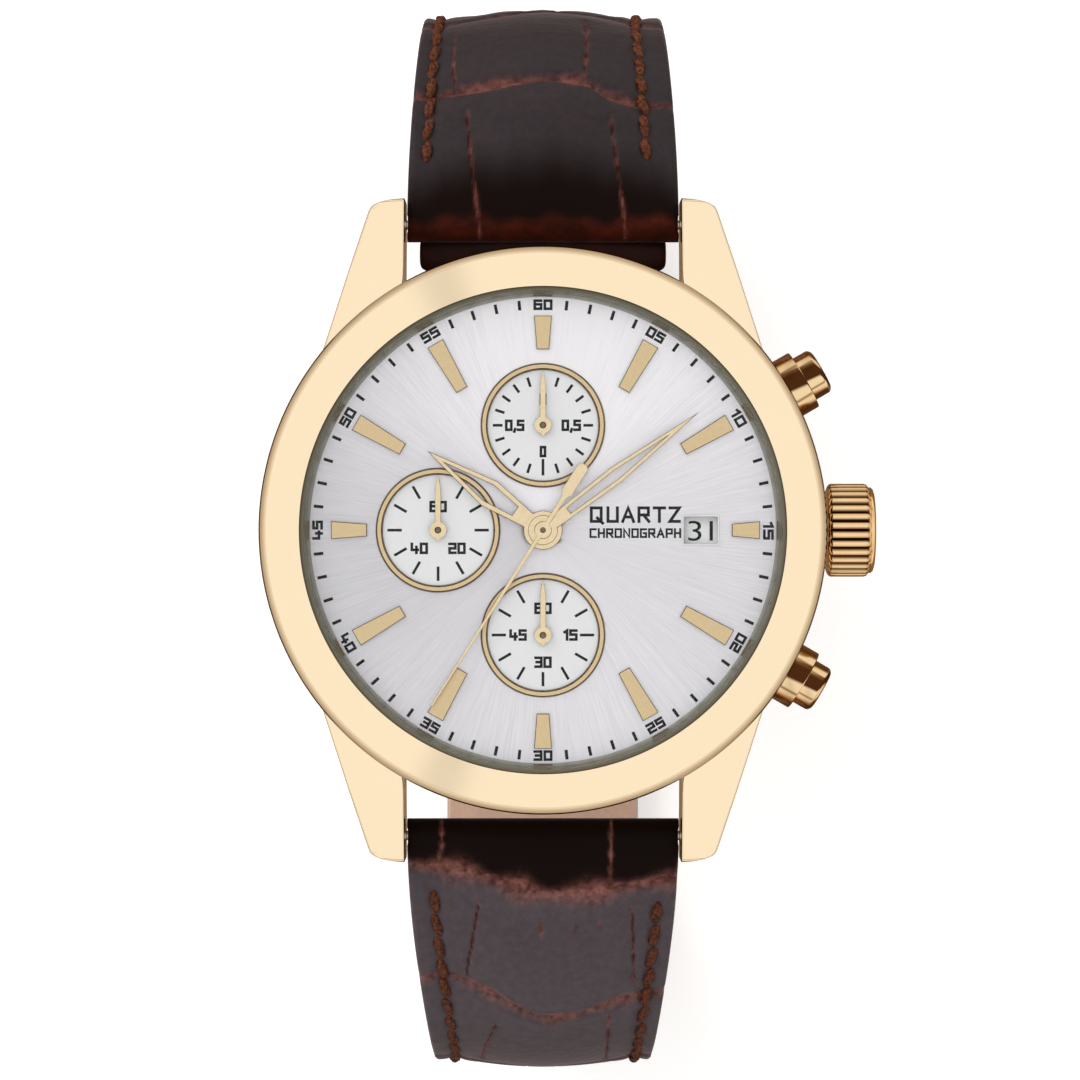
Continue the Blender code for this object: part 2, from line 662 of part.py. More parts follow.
def motor():
    """The stepping motor's stator plate round the rotor, and its coil beyond it."""
    rotor_x = CENTRE_DISTANCE + ROTOR_DISTANCE
    frame = Matrix.Rotation(math.radians(FIFTH_ANGLE), 4, "Z") @ at(rotor_x, 0.0)
    plate = [(-2.2, -2.0), (0.0, -2.2), (3.0, -3.8), (3.0, 3.8), (0.0, 2.2), (-2.2, 2.0)]
    outline = [(u * MM, v * MM) for u, v in plate]
    extruded("stator", [outline, circle(1.6 * MM, 20)], 38.45 * MM, 38.8 * MM, STEEL, frame)
    spool = [
        (0.0, 4.0), (1.05, 4.0), (1.05, 3.6), (0.85, 3.6), (0.85, -3.6), (1.05, -3.6), (1.05, -4.0), (0.0, -4.0),
    ]
    lying = frame @ at(4.6 * MM, 0.0, 38.85 * MM) @ Matrix.Rotation(math.pi / 2, 4, "X")
    turned("coil", [(r * MM, u * MM) for r, u in spool], COPPER, 16, lying)


# ---------------------------------------------------------------- strap


def bezier(points, t):
    a, b, c, d = (Vector(p) for p in points)
    s = 1.0 - t
    spot = a * s**3 + b * (3 * s * s * t) + c * (3 * s * t * t) + d * t**3
    slope = (b - a) * (3 * s * s) + (c - b) * (6 * s * t) + (d - c) * (3 * t * t)
    return spot, slope.normalized()


def curved_path(reach, foot, foot_handle):
    """Points and directions from the lug's spring bar out over the side and down to the strap's foot."""
    bar = (SPRING_BAR_Y, SPRING_BAR_Z)
    side = (reach, SIDE_Z)
    over = [bar, (bar[0] + 8 * MM, bar[1] - 1.5 * MM), (reach, SIDE_Z + 9 * MM), side]
    under = [side, (reach, SIDE_Z - 9 * MM), foot_handle, foot]
    path = [bezier(over, i / 9) for i in range(9)]
    return path + [bezier(under, i / 9) for i in range(10)]


def nosed(path, radius):
    """The path led back round the spring bar, so that the strap's end can be rounded about it."""
    start, direction = path[0]
    steps = [-0.97, -0.75, -0.4]
    return [(start + direction * (radius * step), direction) for step in steps] + path


def strap_12_path():
    seat = Vector(KEEPER_SEAT)
    bar = Vector(BUCKLE_BAR)
    along = (bar - seat).normalized()
    path = curved_path(REACH_12, seat, seat - along * 9 * MM)
    length = (bar - seat).length
    steps = [0.5, 1.0 - 2.2 * MM / length]
    path += [(seat + along * (length * step), along) for step in steps]
    path += [(bar + along * (BUCKLE_END_RADIUS * step), along) for step in (-0.9, -0.5, 0.0, 0.5, 0.8, 0.97)]
    return path


def strap_6_path():
    floor = STRAP_THICK / 2
    foot = (TAIL_FLAT_Y, floor)
    path = curved_path(REACH_6, foot, (TAIL_FLAT_Y + 10 * MM, floor))
    path += [(Vector((y * MM, floor)), Vector((-1.0, 0.0))) for y in (8.0, -8.0, -24.0)]
    for i in range(1, 8):
        angle = TAIL_CURL_LENGTH / TAIL_CURL_RADIUS * i / 7
        spot = (
            -TAIL_FLAT_Y - TAIL_CURL_RADIUS * math.sin(angle),
            floor + TAIL_CURL_RADIUS * (1.0 - math.cos(angle)),
        )
        path.append((Vector(spot), Vector((-math.cos(angle), math.sin(angle)))))
    return path


def distances(path, start):
    """Each station's distance along the path, 0 at the spring bar and negative before it."""
    total, found = start, [start]
    for (a, _), (b, _) in zip(path, path[1:]):
        total += (b - a).length
        found.append(total)
    return found


def smooth(x):
    x = min(max(x, 0.0), 1.0)
    return x * x * (3.0 - 2.0 * x)


def half_width(s, side_width, length, pointed):
    """The strap's half width: full at the lugs, narrower at the side, and its tail's width from the foot."""
    side_s, foot_s = 24.0 * MM, 48.0 * MM
    if s < side_s:
        width = STRAP_HALF_WIDTH + (side_width - STRAP_HALF_WIDTH) * smooth(s / side_s)
    else:
        width = side_width + (HALF_WIDTH_TAIL - side_width) * smooth((s - side_s) / (foot_s - side_s))
    if pointed and s > length - pointed:
        width *= math.sqrt(max(1.0 - ((s - length + pointed) / pointed) ** 2, 0.04))
    return width


def round_end(s, centre, radius):
    """Half the thickness of a round end about a bar, where the station meets that round."""
    return math.sqrt(max(radius**2 - (s - centre) ** 2, 0.0))


def strap_layers(hour, path, side, side_width, buckle_end):
    """The padded leather, rolled round the spring bar, and the lining inside it, as two lofts."""
    path = nosed(path, LUG_END_RADIUS)
    s_values = distances(path, -LUG_END_RADIUS * 0.97)
    length = s_values[-1]
    bar_s = length - BUCKLE_END_RADIUS * 0.97
    pointed = 0.0 if buckle_end else 7.0 * MM
    half, seam = STRAP_THICK / 2, LINING_THICK - STRAP_THICK / 2
    outer_rings, lining_rings = [], []
    for (spot, direction), s in zip(path, s_values):
        normal = Vector((-direction.y, direction.x))
        width = half_width(s, side_width, length, pointed)
        crown_height = PAD_CROWN * smooth((s + 1.9 * MM) / (7 * MM)) * (1.0 - smooth(s / PAD_LENGTH))
        top, base = half, seam + GAP
        lined = 3.0 * MM < s
        if s <= 3.0 * MM:
            nose = round_end(min(s, 0.0), 0.0, LUG_END_RADIUS)
            top = nose if s < 0.0 else nose + (half - nose) * smooth(s / (3.0 * MM))
            base = -nose if s < 2.0 * MM else base
        if buckle_end and s > bar_s - BUCKLE_END_RADIUS:
            top = max(round_end(max(s, bar_s), bar_s, BUCKLE_END_RADIUS), 0.3 * MM)
            base = -top
        if buckle_end and s > bar_s - 2.6 * MM:
            lined = False
        columns = [-1.0, -0.86, -0.5, 0.0, 0.5, 0.86, 1.0]
        outer = [(f * width, spot + normal * (top + crown_height * (1.0 - f**4))) for f in columns]
        under = [(f * width, spot + normal * base) for f in (1.0, -1.0)]
        outer_rings.append(outer + under)
        if lined:
            inside = [(f * width, spot + normal * seam) for f in (-1.0, 1.0)]
            inside += [(f * width, spot - normal * half) for f in (1.0, -1.0)]
            lining_rings.append(inside)
    leather = lofted(f"strap_{hour}_leather", outer_rings, side, LEATHER)
    lining = lofted(f"strap_{hour}_lining", lining_rings, side, LINING)
    return leather, lining


def lofted(name, rings, side, material):
    """A closed solid through rings of (x, (y, z)) points, drawn for +Y and turned over for the other side."""
    shape = bmesh.new()
    grid = [[shape.verts.new((x, side * spot.x, spot.y)) for x, spot in ring_points] for ring_points in rings]
    count = len(grid[0])
    for first, second in zip(grid, grid[1:]):
        for i in range(count):
            j = (i + 1) % count
            shape.faces.new((first[i], first[j], second[j], second[i]))
    shape.faces.new(grid[0])
    shape.faces.new(grid[-1])
    bmesh.ops.recalc_face_normals(shape, faces=shape.faces)
    bmesh.ops.triangulate(shape, faces=shape.faces)
    mesh = bpy.data.meshes.new(name)
    shape.to_mesh(mesh)
    shape.free()
    return place(bpy.data.objects.new(name, mesh), material)


def buckle_frame_matrix():
    """The buckle's own frame: X along its bar, Y back along the strap, Z towards the wrist."""
    seat, bar = Vector(KEEPER_SEAT), Vector(BUCKLE_BAR)
    back = seat - bar
    tilt = math.atan2(back.y, back.x)
    return at(0.0, bar.x, bar.y) @ Matrix.Rotation(tilt, 4, "X")


def strap_12():
    leather, _ = strap_layers("12", strap_12_path(), 1, HALF_WIDTH_SIDE_12, True)
    cut(leather, turned("lug_loop_12", rod(0.95 * MM, -12 * MM, 12 * MM), STEEL, 12, across(SPRING_BAR_Y, SPRING_BAR_Z)))
    bar_hole = rod(BUCKLE_BAR_RADIUS + 0.15 * MM, -12 * MM, 12 * MM)
    cut(leather, turned("buckle_loop", bar_hole, STEEL, 12, across(*BUCKLE_BAR)))
    slot = box("tongue_slot", (-1.15 * MM, -3.0 * MM, -4 * MM), (1.15 * MM, 1.9 * MM, 4 * MM), buckle_frame_matrix())
    cut(leather, slot)


def strap_6():
    leather, lining = strap_layers("6", strap_6_path(), -1, HALF_WIDTH_SIDE_6, False)
    loop = turned("lug_loop_6", rod(0.95 * MM, -12 * MM, 12 * MM), STEEL, 12, across(-SPRING_BAR_Y, SPRING_BAR_Z))
    cut(leather, loop)
    first = -HOLE_PITCH * HOLE_COUNT / 2
    for i in range(HOLE_COUNT):
        for layer in (leather, lining):
            punch = rod(0.8 * MM, -2 * MM, 5 * MM)
            cut(layer, turned(f"punch_{layer.name}_{i}", punch, STEEL, 10, at(0.0, first + i * HOLE_PITCH)))


def buckle():
    frame = buckle_frame_matrix()
    inner, outer = 8.5 * MM, 10.2 * MM
    back, front_in, front_out = 1.3 * MM, -6.4 * MM, -8.4 * MM
    corner = 1.6 * MM
    outline = [(outer, back)]
    outline += arc(corner, 0, -90, 5, (outer - corner, front_out + corner))
    outline += arc(corner, -90, -180, 5, (corner - outer, front_out + corner))
    outline += [(-outer, back), (-inner, back), (-inner, front_in), (inner, front_in), (inner, back)]
    ring_piece = meshed(extruded("buckle_frame", [outline], -0.8 * MM, 0.8 * MM, GOLD, frame))
    along_bar = frame @ Matrix.Rotation(math.pi / 2, 4, "Y")
    cut(ring_piece, turned("buckle_pivots", rod(0.45 * MM, -9.7 * MM, 9.7 * MM), GOLD, 12, along_bar))
    body, pivot = 8.3 * MM, 9.5 * MM
    profile = [
        (0.0, pivot), (0.32 * MM, pivot), (0.32 * MM, body), (BUCKLE_BAR_RADIUS, body),
        (BUCKLE_BAR_RADIUS, -body), (0.32 * MM, -body), (0.32 * MM, -pivot), (0.0, -pivot),
    ]
    turned("buckle_spring_bar", profile, STEEL, 12, along_bar)
    buckle_tongue(frame)


def buckle_tongue(frame):
    """A loop round the bar with a blade that lies under the front of the frame, drawn from the side."""
    eye = 1.5 * MM
    side_view = arc(eye, 225, -90, 12)
    side_view += [(-8.6 * MM, -1.98 * MM), (-9.0 * MM, -1.55 * MM), (-8.6 * MM, -1.18 * MM)]
    hole = circle(BUCKLE_BAR_RADIUS + 0.15 * MM, 10)
    sideways = Matrix.Rotation(math.pi / 2, 4, "Z") @ Matrix.Rotation(math.pi / 2, 4, "X")
    extruded("buckle_tongue", [side_view, hole], -0.85 * MM, 0.85 * MM, GOLD, frame @ sideways)


def keeper(name, centre_y, width, room):
    """A leather loop round the strap, with room on its outer side for the strap's tail."""
    half, skin = STRAP_THICK / 2, 0.9 * MM
    inner_x, play = HALF_WIDTH_TAIL + 0.3 * MM, 0.3 * MM
    corner = 0.8 * MM
    outer_x, top, base = inner_x + skin, half + play + skin, -half - room - skin
    outline = arc(corner, 90, 0, 4, (outer_x - corner, top - corner))
    outline += arc(corner, 0, -90, 4, (outer_x - corner, base + corner))
    outline += arc(corner, 270, 180, 4, (corner - outer_x, base + corner))
    outline += arc(corner, 180, 90, 4, (corner - outer_x, top - corner))
    window = [(inner_x, top - skin), (inner_x, base + skin), (-inner_x, base + skin), (-inner_x, top - skin)]
    frame = buckle_frame_matrix() @ at(0.0, centre_y) @ Matrix.Rotation(math.pi / 2, 4, "X")
    extruded(name, [outline, window], -width / 2, width / 2, LEATHER, frame)


case_middle()
bezel()
crystal()
case_seals()
flange_ring()
case_back()
lug_spring_bars()
crown()
crown_fittings()
for pusher_name, pusher_angle in PUSHER_ANGLES.items():
    pusher(pusher_name, pusher_angle)
dial()
for subdial, (subdial_x, subdial_y) in SUBDIALS.items():
    subdial_ring(subdial, subdial_x, subdial_y)
hands()
going_train()
motion_works()
chronograph_wheels()
date_disc()
main_plate()
movement_holder()
movement_parts()
motor()
strap_12()
strap_6()
buckle()
keeper("fixed_keeper", 5.4 * MM, 3.6 * MM, 2.5 * MM)
keeper("free_keeper", 11.5 * MM, 4.6 * MM, 2.5 * MM)
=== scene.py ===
"""The looks of the chronograph wristwatch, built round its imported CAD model.

Shapes are drawn in millimetres in the frame of the CAD model and turned into metres as they become pieces:
+Z is up out of the dial, +Y towards twelve o'clock and +X towards the crown.
"""

import json
import math

import bmesh
import bpy
import numpy as np
from mathutils import Matrix, Vector

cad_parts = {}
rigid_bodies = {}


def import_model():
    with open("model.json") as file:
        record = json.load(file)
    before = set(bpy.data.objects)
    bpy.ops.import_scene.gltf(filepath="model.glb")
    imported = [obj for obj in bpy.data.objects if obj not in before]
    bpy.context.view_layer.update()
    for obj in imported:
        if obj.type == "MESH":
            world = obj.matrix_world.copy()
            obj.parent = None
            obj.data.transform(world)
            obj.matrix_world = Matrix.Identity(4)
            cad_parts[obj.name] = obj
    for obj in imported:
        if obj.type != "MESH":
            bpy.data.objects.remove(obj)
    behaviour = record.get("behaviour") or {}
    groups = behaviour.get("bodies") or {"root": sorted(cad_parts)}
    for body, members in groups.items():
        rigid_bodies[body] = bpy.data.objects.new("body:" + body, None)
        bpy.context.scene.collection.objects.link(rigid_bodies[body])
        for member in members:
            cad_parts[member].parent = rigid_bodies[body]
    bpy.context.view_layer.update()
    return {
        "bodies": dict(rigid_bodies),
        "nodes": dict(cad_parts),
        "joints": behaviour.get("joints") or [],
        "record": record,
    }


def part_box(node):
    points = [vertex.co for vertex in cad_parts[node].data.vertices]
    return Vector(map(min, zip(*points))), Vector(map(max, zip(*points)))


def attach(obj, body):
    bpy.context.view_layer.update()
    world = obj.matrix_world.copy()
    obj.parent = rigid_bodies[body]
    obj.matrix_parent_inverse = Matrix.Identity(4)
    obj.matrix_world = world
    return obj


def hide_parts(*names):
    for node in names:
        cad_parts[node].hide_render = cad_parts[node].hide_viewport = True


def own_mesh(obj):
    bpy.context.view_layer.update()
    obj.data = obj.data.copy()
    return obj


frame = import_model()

MM = 0.001
SLOT_OF = {part["node"]: part["material_slot"] for part in frame["record"]["subparts"]}


def box_of(node):
    """A CAD node's lowest and highest corners, in millimetres."""
    low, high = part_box(node)
    return low / MM, high / MM


# ---------------------------------------------------------------- materials


class Look:
    """A material on the Principled shader, whose node tree is put together one node at a time."""

    def __init__(self, name, colour, roughness, metallic=0.0, **fixed):
        self.material = bpy.data.materials.new(name)
        self.material.use_nodes = True
        self.tree = self.material.node_tree
        self.shader = self.tree.nodes["Principled BSDF"]
        self.set("Base Color", (*colour, 1.0))
        self.set("Roughness", roughness)
        self.set("Metallic", metallic)
        for socket, value in fixed.items():
            self.set(socket.replace("_", " "), value)
        where = self.node("ShaderNodeTexCoord")
        self.place, self.turn = where.outputs["Object"], where.outputs["Normal"]

    def set(self, socket, value):
        self.feed(self.shader.inputs[socket], value)

    def feed(self, socket, value):
        if isinstance(value, bpy.types.NodeSocket):
            self.tree.links.new(value, socket)
        else:
            socket.default_value = value

    def node(self, kind, inputs=None, **settings):
        made = self.tree.nodes.new(kind)
        for setting, value in settings.items():
            setattr(made, setting, value)
        for socket, value in (inputs or {}).items():
            self.feed(made.inputs[socket], value)
        return made

    def stretched(self, scale):
        """The object's own place, scaled along each axis; a larger number is a finer pattern."""
        return self.node("ShaderNodeMapping", {"Vector": self.place, "Scale": scale}).outputs[0]

    def noise(self, scale, detail=3.0, roughness=0.55, vector=None):
        values = {"Scale": scale, "Detail": detail, "Roughness": roughness, "Vector": vector or self.place}
        return self.node("ShaderNodeTexNoise", values).outputs["Fac"]

    def cells(self, scale, vector=None, feature="F1"):
        values = {"Scale": scale, "Vector": vector or self.place}
        return self.node("ShaderNodeTexVoronoi", values, feature=feature).outputs["Distance"]

    def maths(self, operation, a, b=0.0, c=0.0):
        made = self.node("ShaderNodeMath", {0: a, 1: b}, operation=operation)
        self.feed(made.inputs[2], c)
        return made.outputs[0]

    def spread(self, value, low, high, to_low=0.0, to_high=1.0):
        inputs = {"Value": value, "From Min": low, "From Max": high, "To Min": to_low, "To Max": to_high}
        return self.node("ShaderNodeMapRange", inputs).outputs["Result"]

    def mix(self, share, a, b):
        made = self.node("ShaderNodeMix", data_type="RGBA")
        self.feed(made.inputs["Factor"], share)
        for socket, value in (("A", a), ("B", b)):
            colour = value if isinstance(value, bpy.types.NodeSocket) else (*value, 1.0)
            self.feed([i for i in made.inputs if i.name == socket and i.type == "RGBA"][0], colour)
        return [o for o in made.outputs if o.type == "RGBA"][0]

    def stops(self, ramp, places):
        """Give a colour ramp these (position, colour) stops."""
        found = ramp.color_ramp.elements
        while len(found) < len(places):
            found.new(0.5)
        for stop, (position, colour) in zip(found, places):
            stop.position = position
            stop.color = (*colour, 1.0)

    def attribute(self, name):
        return self.node("ShaderNodeAttribute", attribute_name=name).outputs["Fac"]

    def bump(self, height, strength, distance):
        values = {"Height": height, "Strength": strength, "Distance": distance}
        self.set("Normal", self.node("ShaderNodeBump", values).outputs["Normal"])

    def around(self, centre=(0.0, 0.0)):
        """The direction from a centre line along Z to each point, as a unit vector."""
        shift = (-centre[0] * MM, -centre[1] * MM, 0.0)
        moved = self.node("ShaderNodeMapping", {"Vector": self.place, "Location": shift}).outputs[0]
        level = self.node("ShaderNodeVectorMath", {0: moved, 1: (1.0, 1.0, 0.0)}, operation="MULTIPLY")
        return self.node("ShaderNodeVectorMath", {0: level.outputs[0]}, operation="NORMALIZE").outputs[0]

    def distance_from_axis(self, centre=(0.0, 0.0)):
        shift = (-centre[0] * MM, -centre[1] * MM, 0.0)
        moved = self.node("ShaderNodeMapping", {"Vector": self.place, "Location": shift}).outputs[0]
        level = self.node("ShaderNodeVectorMath", {0: moved, 1: (1.0, 1.0, 0.0)}, operation="MULTIPLY")
        return self.node("ShaderNodeVectorMath", {0: level.outputs[0]}, operation="LENGTH").outputs["Value"]


def polished_gold():
    look = Look("polished_gold", (0.985, 0.80, 0.55), 0.08, 1.0)
    look.set("Roughness", look.spread(look.noise(900.0, 4.0), 0.3, 0.7, 0.06, 0.11))
    look.set("Base Color", look.mix(look.noise(160.0, 2.0), (0.99, 0.81, 0.56), (0.98, 0.785, 0.535)))
    look.bump(look.noise(5200.0, 2.0), 0.03, 0.00001)
    return look


def gold_painted_reflections():
    """Polished gold on the pushers, with painted reflections: a dark band runs along their upper side, with
    amber edges.
    """
    look = Look("gold_painted_reflections", (0.9, 0.66, 0.38), 0.1, 1.0)
    # painted reflection: the colour follows which way the surface faces, as bands of the room mirrored in the
    # gold
    facing = look.node("ShaderNodeSeparateXYZ", {0: look.turn}).outputs["Y"]
    band = look.node("ShaderNodeValToRGB", {0: look.spread(facing, -1.0, 1.0)})
    amber, bright, brown = (0.36, 0.155, 0.045), (0.90, 0.66, 0.38), (0.07, 0.022, 0.006)
    stops = [
        (0.08, (0.20, 0.08, 0.02)), (0.17, amber), (0.22, bright), (0.41, bright), (0.45, brown),
        (0.65, brown),
        (0.70, (0.20, 0.08, 0.025)), (0.73, bright), (0.80, bright), (0.85, amber),
        (0.93, (0.50, 0.27, 0.10)),
    ]
    look.stops(band, stops)
    look.set("Base Color", band.outputs[0])
    look.set("Roughness", look.spread(look.noise(900.0, 4.0), 0.3, 0.7, 0.08, 0.13))
    return look


def crown_gold():
    """Gold of the winding knob, with painted shade: brown down in its grooves."""
    look = Look("crown_gold", (0.97, 0.74, 0.46), 0.13, 1.0)
    worn = look.mix(look.noise(700.0), (0.98, 0.73, 0.43), (0.90, 0.58, 0.28))
    look.set("Base Color", look.mix(look.attribute("groove_shade"), worn, (0.055, 0.015, 0.004)))
    look.set("Roughness", look.spread(look.noise(900.0, 4.0), 0.3, 0.7, 0.10, 0.16))
    return look


def satin_gold():
    look = Look("satin_gold", (0.72, 0.54, 0.31), 0.3, 1.0)
    grain = look.noise(3800.0, 3.0, vector=look.stretched((1.0, 1.0, 1.0)))
    look.set("Base Color", look.mix(look.spread(grain, 0.3, 0.7), (0.76, 0.575, 0.335), (0.70, 0.52, 0.295)))
    look.set("Roughness", look.spread(grain, 0.3, 0.7, 0.27, 0.34))
    return look


def hand_gold():
    look = Look("hand_gold", (0.86, 0.68, 0.44), 0.22, 1.0)
    grain = look.noise(2400.0, 3.0)
    look.set("Base Color", look.mix(look.spread(grain, 0.3, 0.7), (0.89, 0.71, 0.465), (0.82, 0.64, 0.40)))
    look.set("Roughness", look.spread(grain, 0.3, 0.7, 0.18, 0.26))
    return look


def painted_dark_reflection():
    """The polished sides of hands, markers and rings, with painted reflection: their dark colour stands for
    the dark of the room they mirror.
    """
    look = Look("gold_edge_painted_reflection", (0.16, 0.08, 0.03), 0.2, 1.0)
    look.set("Base Color", look.mix(look.noise(1200.0), (0.19, 0.10, 0.038), (0.10, 0.048, 0.016)))
    return look


def rim_shadow():
    """The rolled lower edge of the bezel, where the gold turns under; its dark colour is painted shade and
    painted reflection of the gap beneath it.
    """
    look = Look("gold_rim_painted_shade", (0.10, 0.05, 0.02), 0.25, 1.0)
    look.set("Base Color", look.mix(look.noise(700.0), (0.14, 0.07, 0.025), (0.05, 0.022, 0.008)))
    return look


def sunburst_silver():
    """Silver brushed outwards from the centre, with painted sheen that makes it a little brighter towards
    twelve and the crown.
    """
    look = Look("sunburst_silver", (0.76, 0.755, 0.77), 0.36, 0.7, Anisotropic=0.5)
    around = look.around()
    drift = look.node(
        "ShaderNodeCombineXYZ", {"Z": look.maths("MULTIPLY", look.distance_from_axis(), 1.9)},
    ).outputs[0]
    grained = look.node("ShaderNodeVectorMath", {0: around, 1: drift}, operation="ADD").outputs[0]
    streaks = look.noise(120.0, 5.0, 0.78, grained)
    parts = look.node("ShaderNodeSeparateXYZ", {0: around})
    # painted sheen: broad brightness lobes in the colour, brightest towards twelve and a little towards the
    # crown, times the grain
    painted_fan = look.maths("MULTIPLY", parts.outputs["Y"], parts.outputs["Y"])
    light = look.maths("MULTIPLY_ADD", painted_fan, 0.15, 0.735)
    light = look.maths("MULTIPLY_ADD", parts.outputs["X"], 0.05, light)
    light = look.maths("MULTIPLY_ADD", parts.outputs["Y"], 0.075, light)
    light = look.maths("MULTIPLY", light, look.spread(streaks, 0.2, 0.8, 0.88, 1.22))
    look.set("Base Color", look.mix(light, (0.0, 0.0, 0.0), (1.0, 0.962, 1.02)))
    look.set("Tangent", look.node("ShaderNodeTangent", direction_type="RADIAL", axis="Z").outputs[0])
    look.bump(streaks, 0.08, 0.00002)
    return look


def counter_white(centre):
    """A sub-dial's floor: pale silver with fine turned rings."""
    look = Look("counter_white", (0.9, 0.9, 0.91), 0.4, 0.6)
    radius = look.distance_from_axis(centre)
    rings = look.maths("SINE", look.maths("MULTIPLY", radius, 2 * math.pi / (0.09 * MM)))
    look.set("Base Color", look.mix(look.spread(rings, -1.0, 1.0), (0.86, 0.85, 0.875), (0.94, 0.93, 0.95)))
    look.bump(rings, 0.1, 0.00002)
    return look


def print_black():
    look = Look("print_black", (0.006, 0.006, 0.007), 0.5, Specular_IOR_Level=0.08)
    look.set("Base Color", look.mix(look.noise(1800.0), (0.004, 0.004, 0.005), (0.010, 0.010, 0.011)))
    return look


def date_white():
    look = Look("date_white", (0.90, 0.90, 0.90), 0.5)
    look.set("Base Color", look.mix(look.noise(2200.0), (0.93, 0.93, 0.93), (0.86, 0.86, 0.87)))
    return look


def rehaut_olive():
    """The inclined ring between glass and dial: olive with fine turned lines, paler towards the dial."""
    look = Look("rehaut_olive", (0.24, 0.22, 0.155), 0.5, 0.5)
    height = look.node("ShaderNodeSeparateXYZ", {0: look.place}).outputs["Z"]
    lines = look.maths("SINE", look.maths("MULTIPLY", height, 2 * math.pi / (0.44 * MM)))
    rise = look.spread(height, 42.6 * MM, 43.9 * MM)
    wall = look.mix(rise, (0.50, 0.49, 0.44), (0.24, 0.22, 0.155))
    look.set("Base Color", look.mix(look.spread(lines, 0.2, 1.0, 0.0, 0.55), wall, (0.085, 0.075, 0.045)))
    return look


def steel(name, dark, bright, roughness):
    look = Look(name, bright, roughness, 1.0, Anisotropic=0.4)
    grain = look.noise(700.0, 5.0, 0.7, look.stretched((1.0, 6.0, 6.0)))
    look.set("Base Color", look.mix(look.spread(grain, 0.3, 0.7), dark, bright))
    look.set("Roughness", look.spread(grain, 0.3, 0.7, roughness - 0.06, roughness + 0.08))
    look.bump(grain, 0.06, 0.00002)
    return look


def turned_steel():
    """Steel brushed in rings about the watch's own axis."""
    look = Look("turned_steel", (0.62, 0.62, 0.63), 0.26, 1.0, Anisotropic=0.6)
    radius = look.distance_from_axis()
    rings = look.noise(
        1.0, 4.0, 0.7,
        look.node("ShaderNodeCombineXYZ", {"X": look.maths("MULTIPLY", radius, 9000.0)}).outputs[0],
    )
    look.set("Base Color", look.mix(look.spread(rings, 0.3, 0.7), (0.52, 0.52, 0.53), (0.70, 0.70, 0.71)))
    look.set("Tangent", look.node("ShaderNodeTangent", direction_type="RADIAL", axis="Z").outputs[0])
    look.bump(rings, 0.08, 0.00002)
    return look


def movement_brass():
    """Plain brass with the overlapping small circles of a spotted finish."""
    look = Look("movement_brass", (0.78, 0.62, 0.32), 0.3, 1.0)
    spots = look.cells(620.0)
    look.set("Base Color", look.mix(look.spread(spots, 0.0, 0.8), (0.84, 0.68, 0.37), (0.66, 0.50, 0.24)))
    look.set("Roughness", look.spread(look.noise(1500.0), 0.3, 0.7, 0.22, 0.38))
    look.bump(spots, 0.08, 0.00003)
    return look


def rubber():
    look = Look("seal_rubber", (0.02, 0.02, 0.02), 0.62)
    look.set("Roughness", look.spread(look.noise(1800.0), 0.3, 0.7, 0.55, 0.72))
    look.bump(look.noise(3000.0), 0.2, 0.00002)
    return look


def white_plastic():
    look = Look("white_plastic", (0.82, 0.82, 0.80), 0.5, Subsurface_Weight=0.05)
    look.set("Base Color", look.mix(look.noise(400.0), (0.85, 0.85, 0.83), (0.78, 0.78, 0.76)))
    look.bump(look.noise(4000.0), 0.12, 0.00002)
    return look


def circuit_green():
    """Solder mask over copper tracks."""
    look = Look("circuit_green", (0.05, 0.24, 0.11), 0.4)
    tracks = look.cells(450.0, feature="DISTANCE_TO_EDGE")
    look.set("Base Color", look.mix(look.spread(tracks, 0.05, 0.09), (0.10, 0.36, 0.16), (0.035, 0.17, 0.08)))
    look.bump(tracks, 0.15, 0.00003)
    return look


def copper_wire():
    """Fine enamelled wire wound in close turns."""
    look = Look("copper_wire", (0.62, 0.26, 0.12), 0.32, 0.85)
    turns = look.cells(5200.0, look.stretched((1.0, 1.0, 0.05)))
    look.set("Base Color", look.mix(look.spread(turns, 0.0, 0.6), (0.78, 0.36, 0.17), (0.36, 0.13, 0.06)))
    look.bump(turns, 0.3, 0.00003)
    return look


def clear_glass():
    """A thin mineral glass: it mirrors what falls on it at a slant and lets the rest through."""
    look = Look("mineral_glass", (1.0, 1.0, 1.0), 0.0)
    clear = look.node("ShaderNodeBsdfTransparent", {"Color": (0.985, 0.99, 0.985, 1.0)})
    mirror = look.node("ShaderNodeBsdfGlossy", {"Color": (0.9, 0.92, 0.93, 1.0), "Roughness": 0.02})
    slant = look.maths("MULTIPLY", look.node("ShaderNodeFresnel", {"IOR": 1.42}).outputs[0], 0.45)
    both = look.node("ShaderNodeMixShader", {0: slant, 1: clear.outputs[0], 2: mirror.outputs[0]})
    output = look.tree.nodes["Material Output"]
    look.tree.links.new(both.outputs[0], output.inputs["Surface"])
    look.tree.nodes.remove(look.shader)
    return look


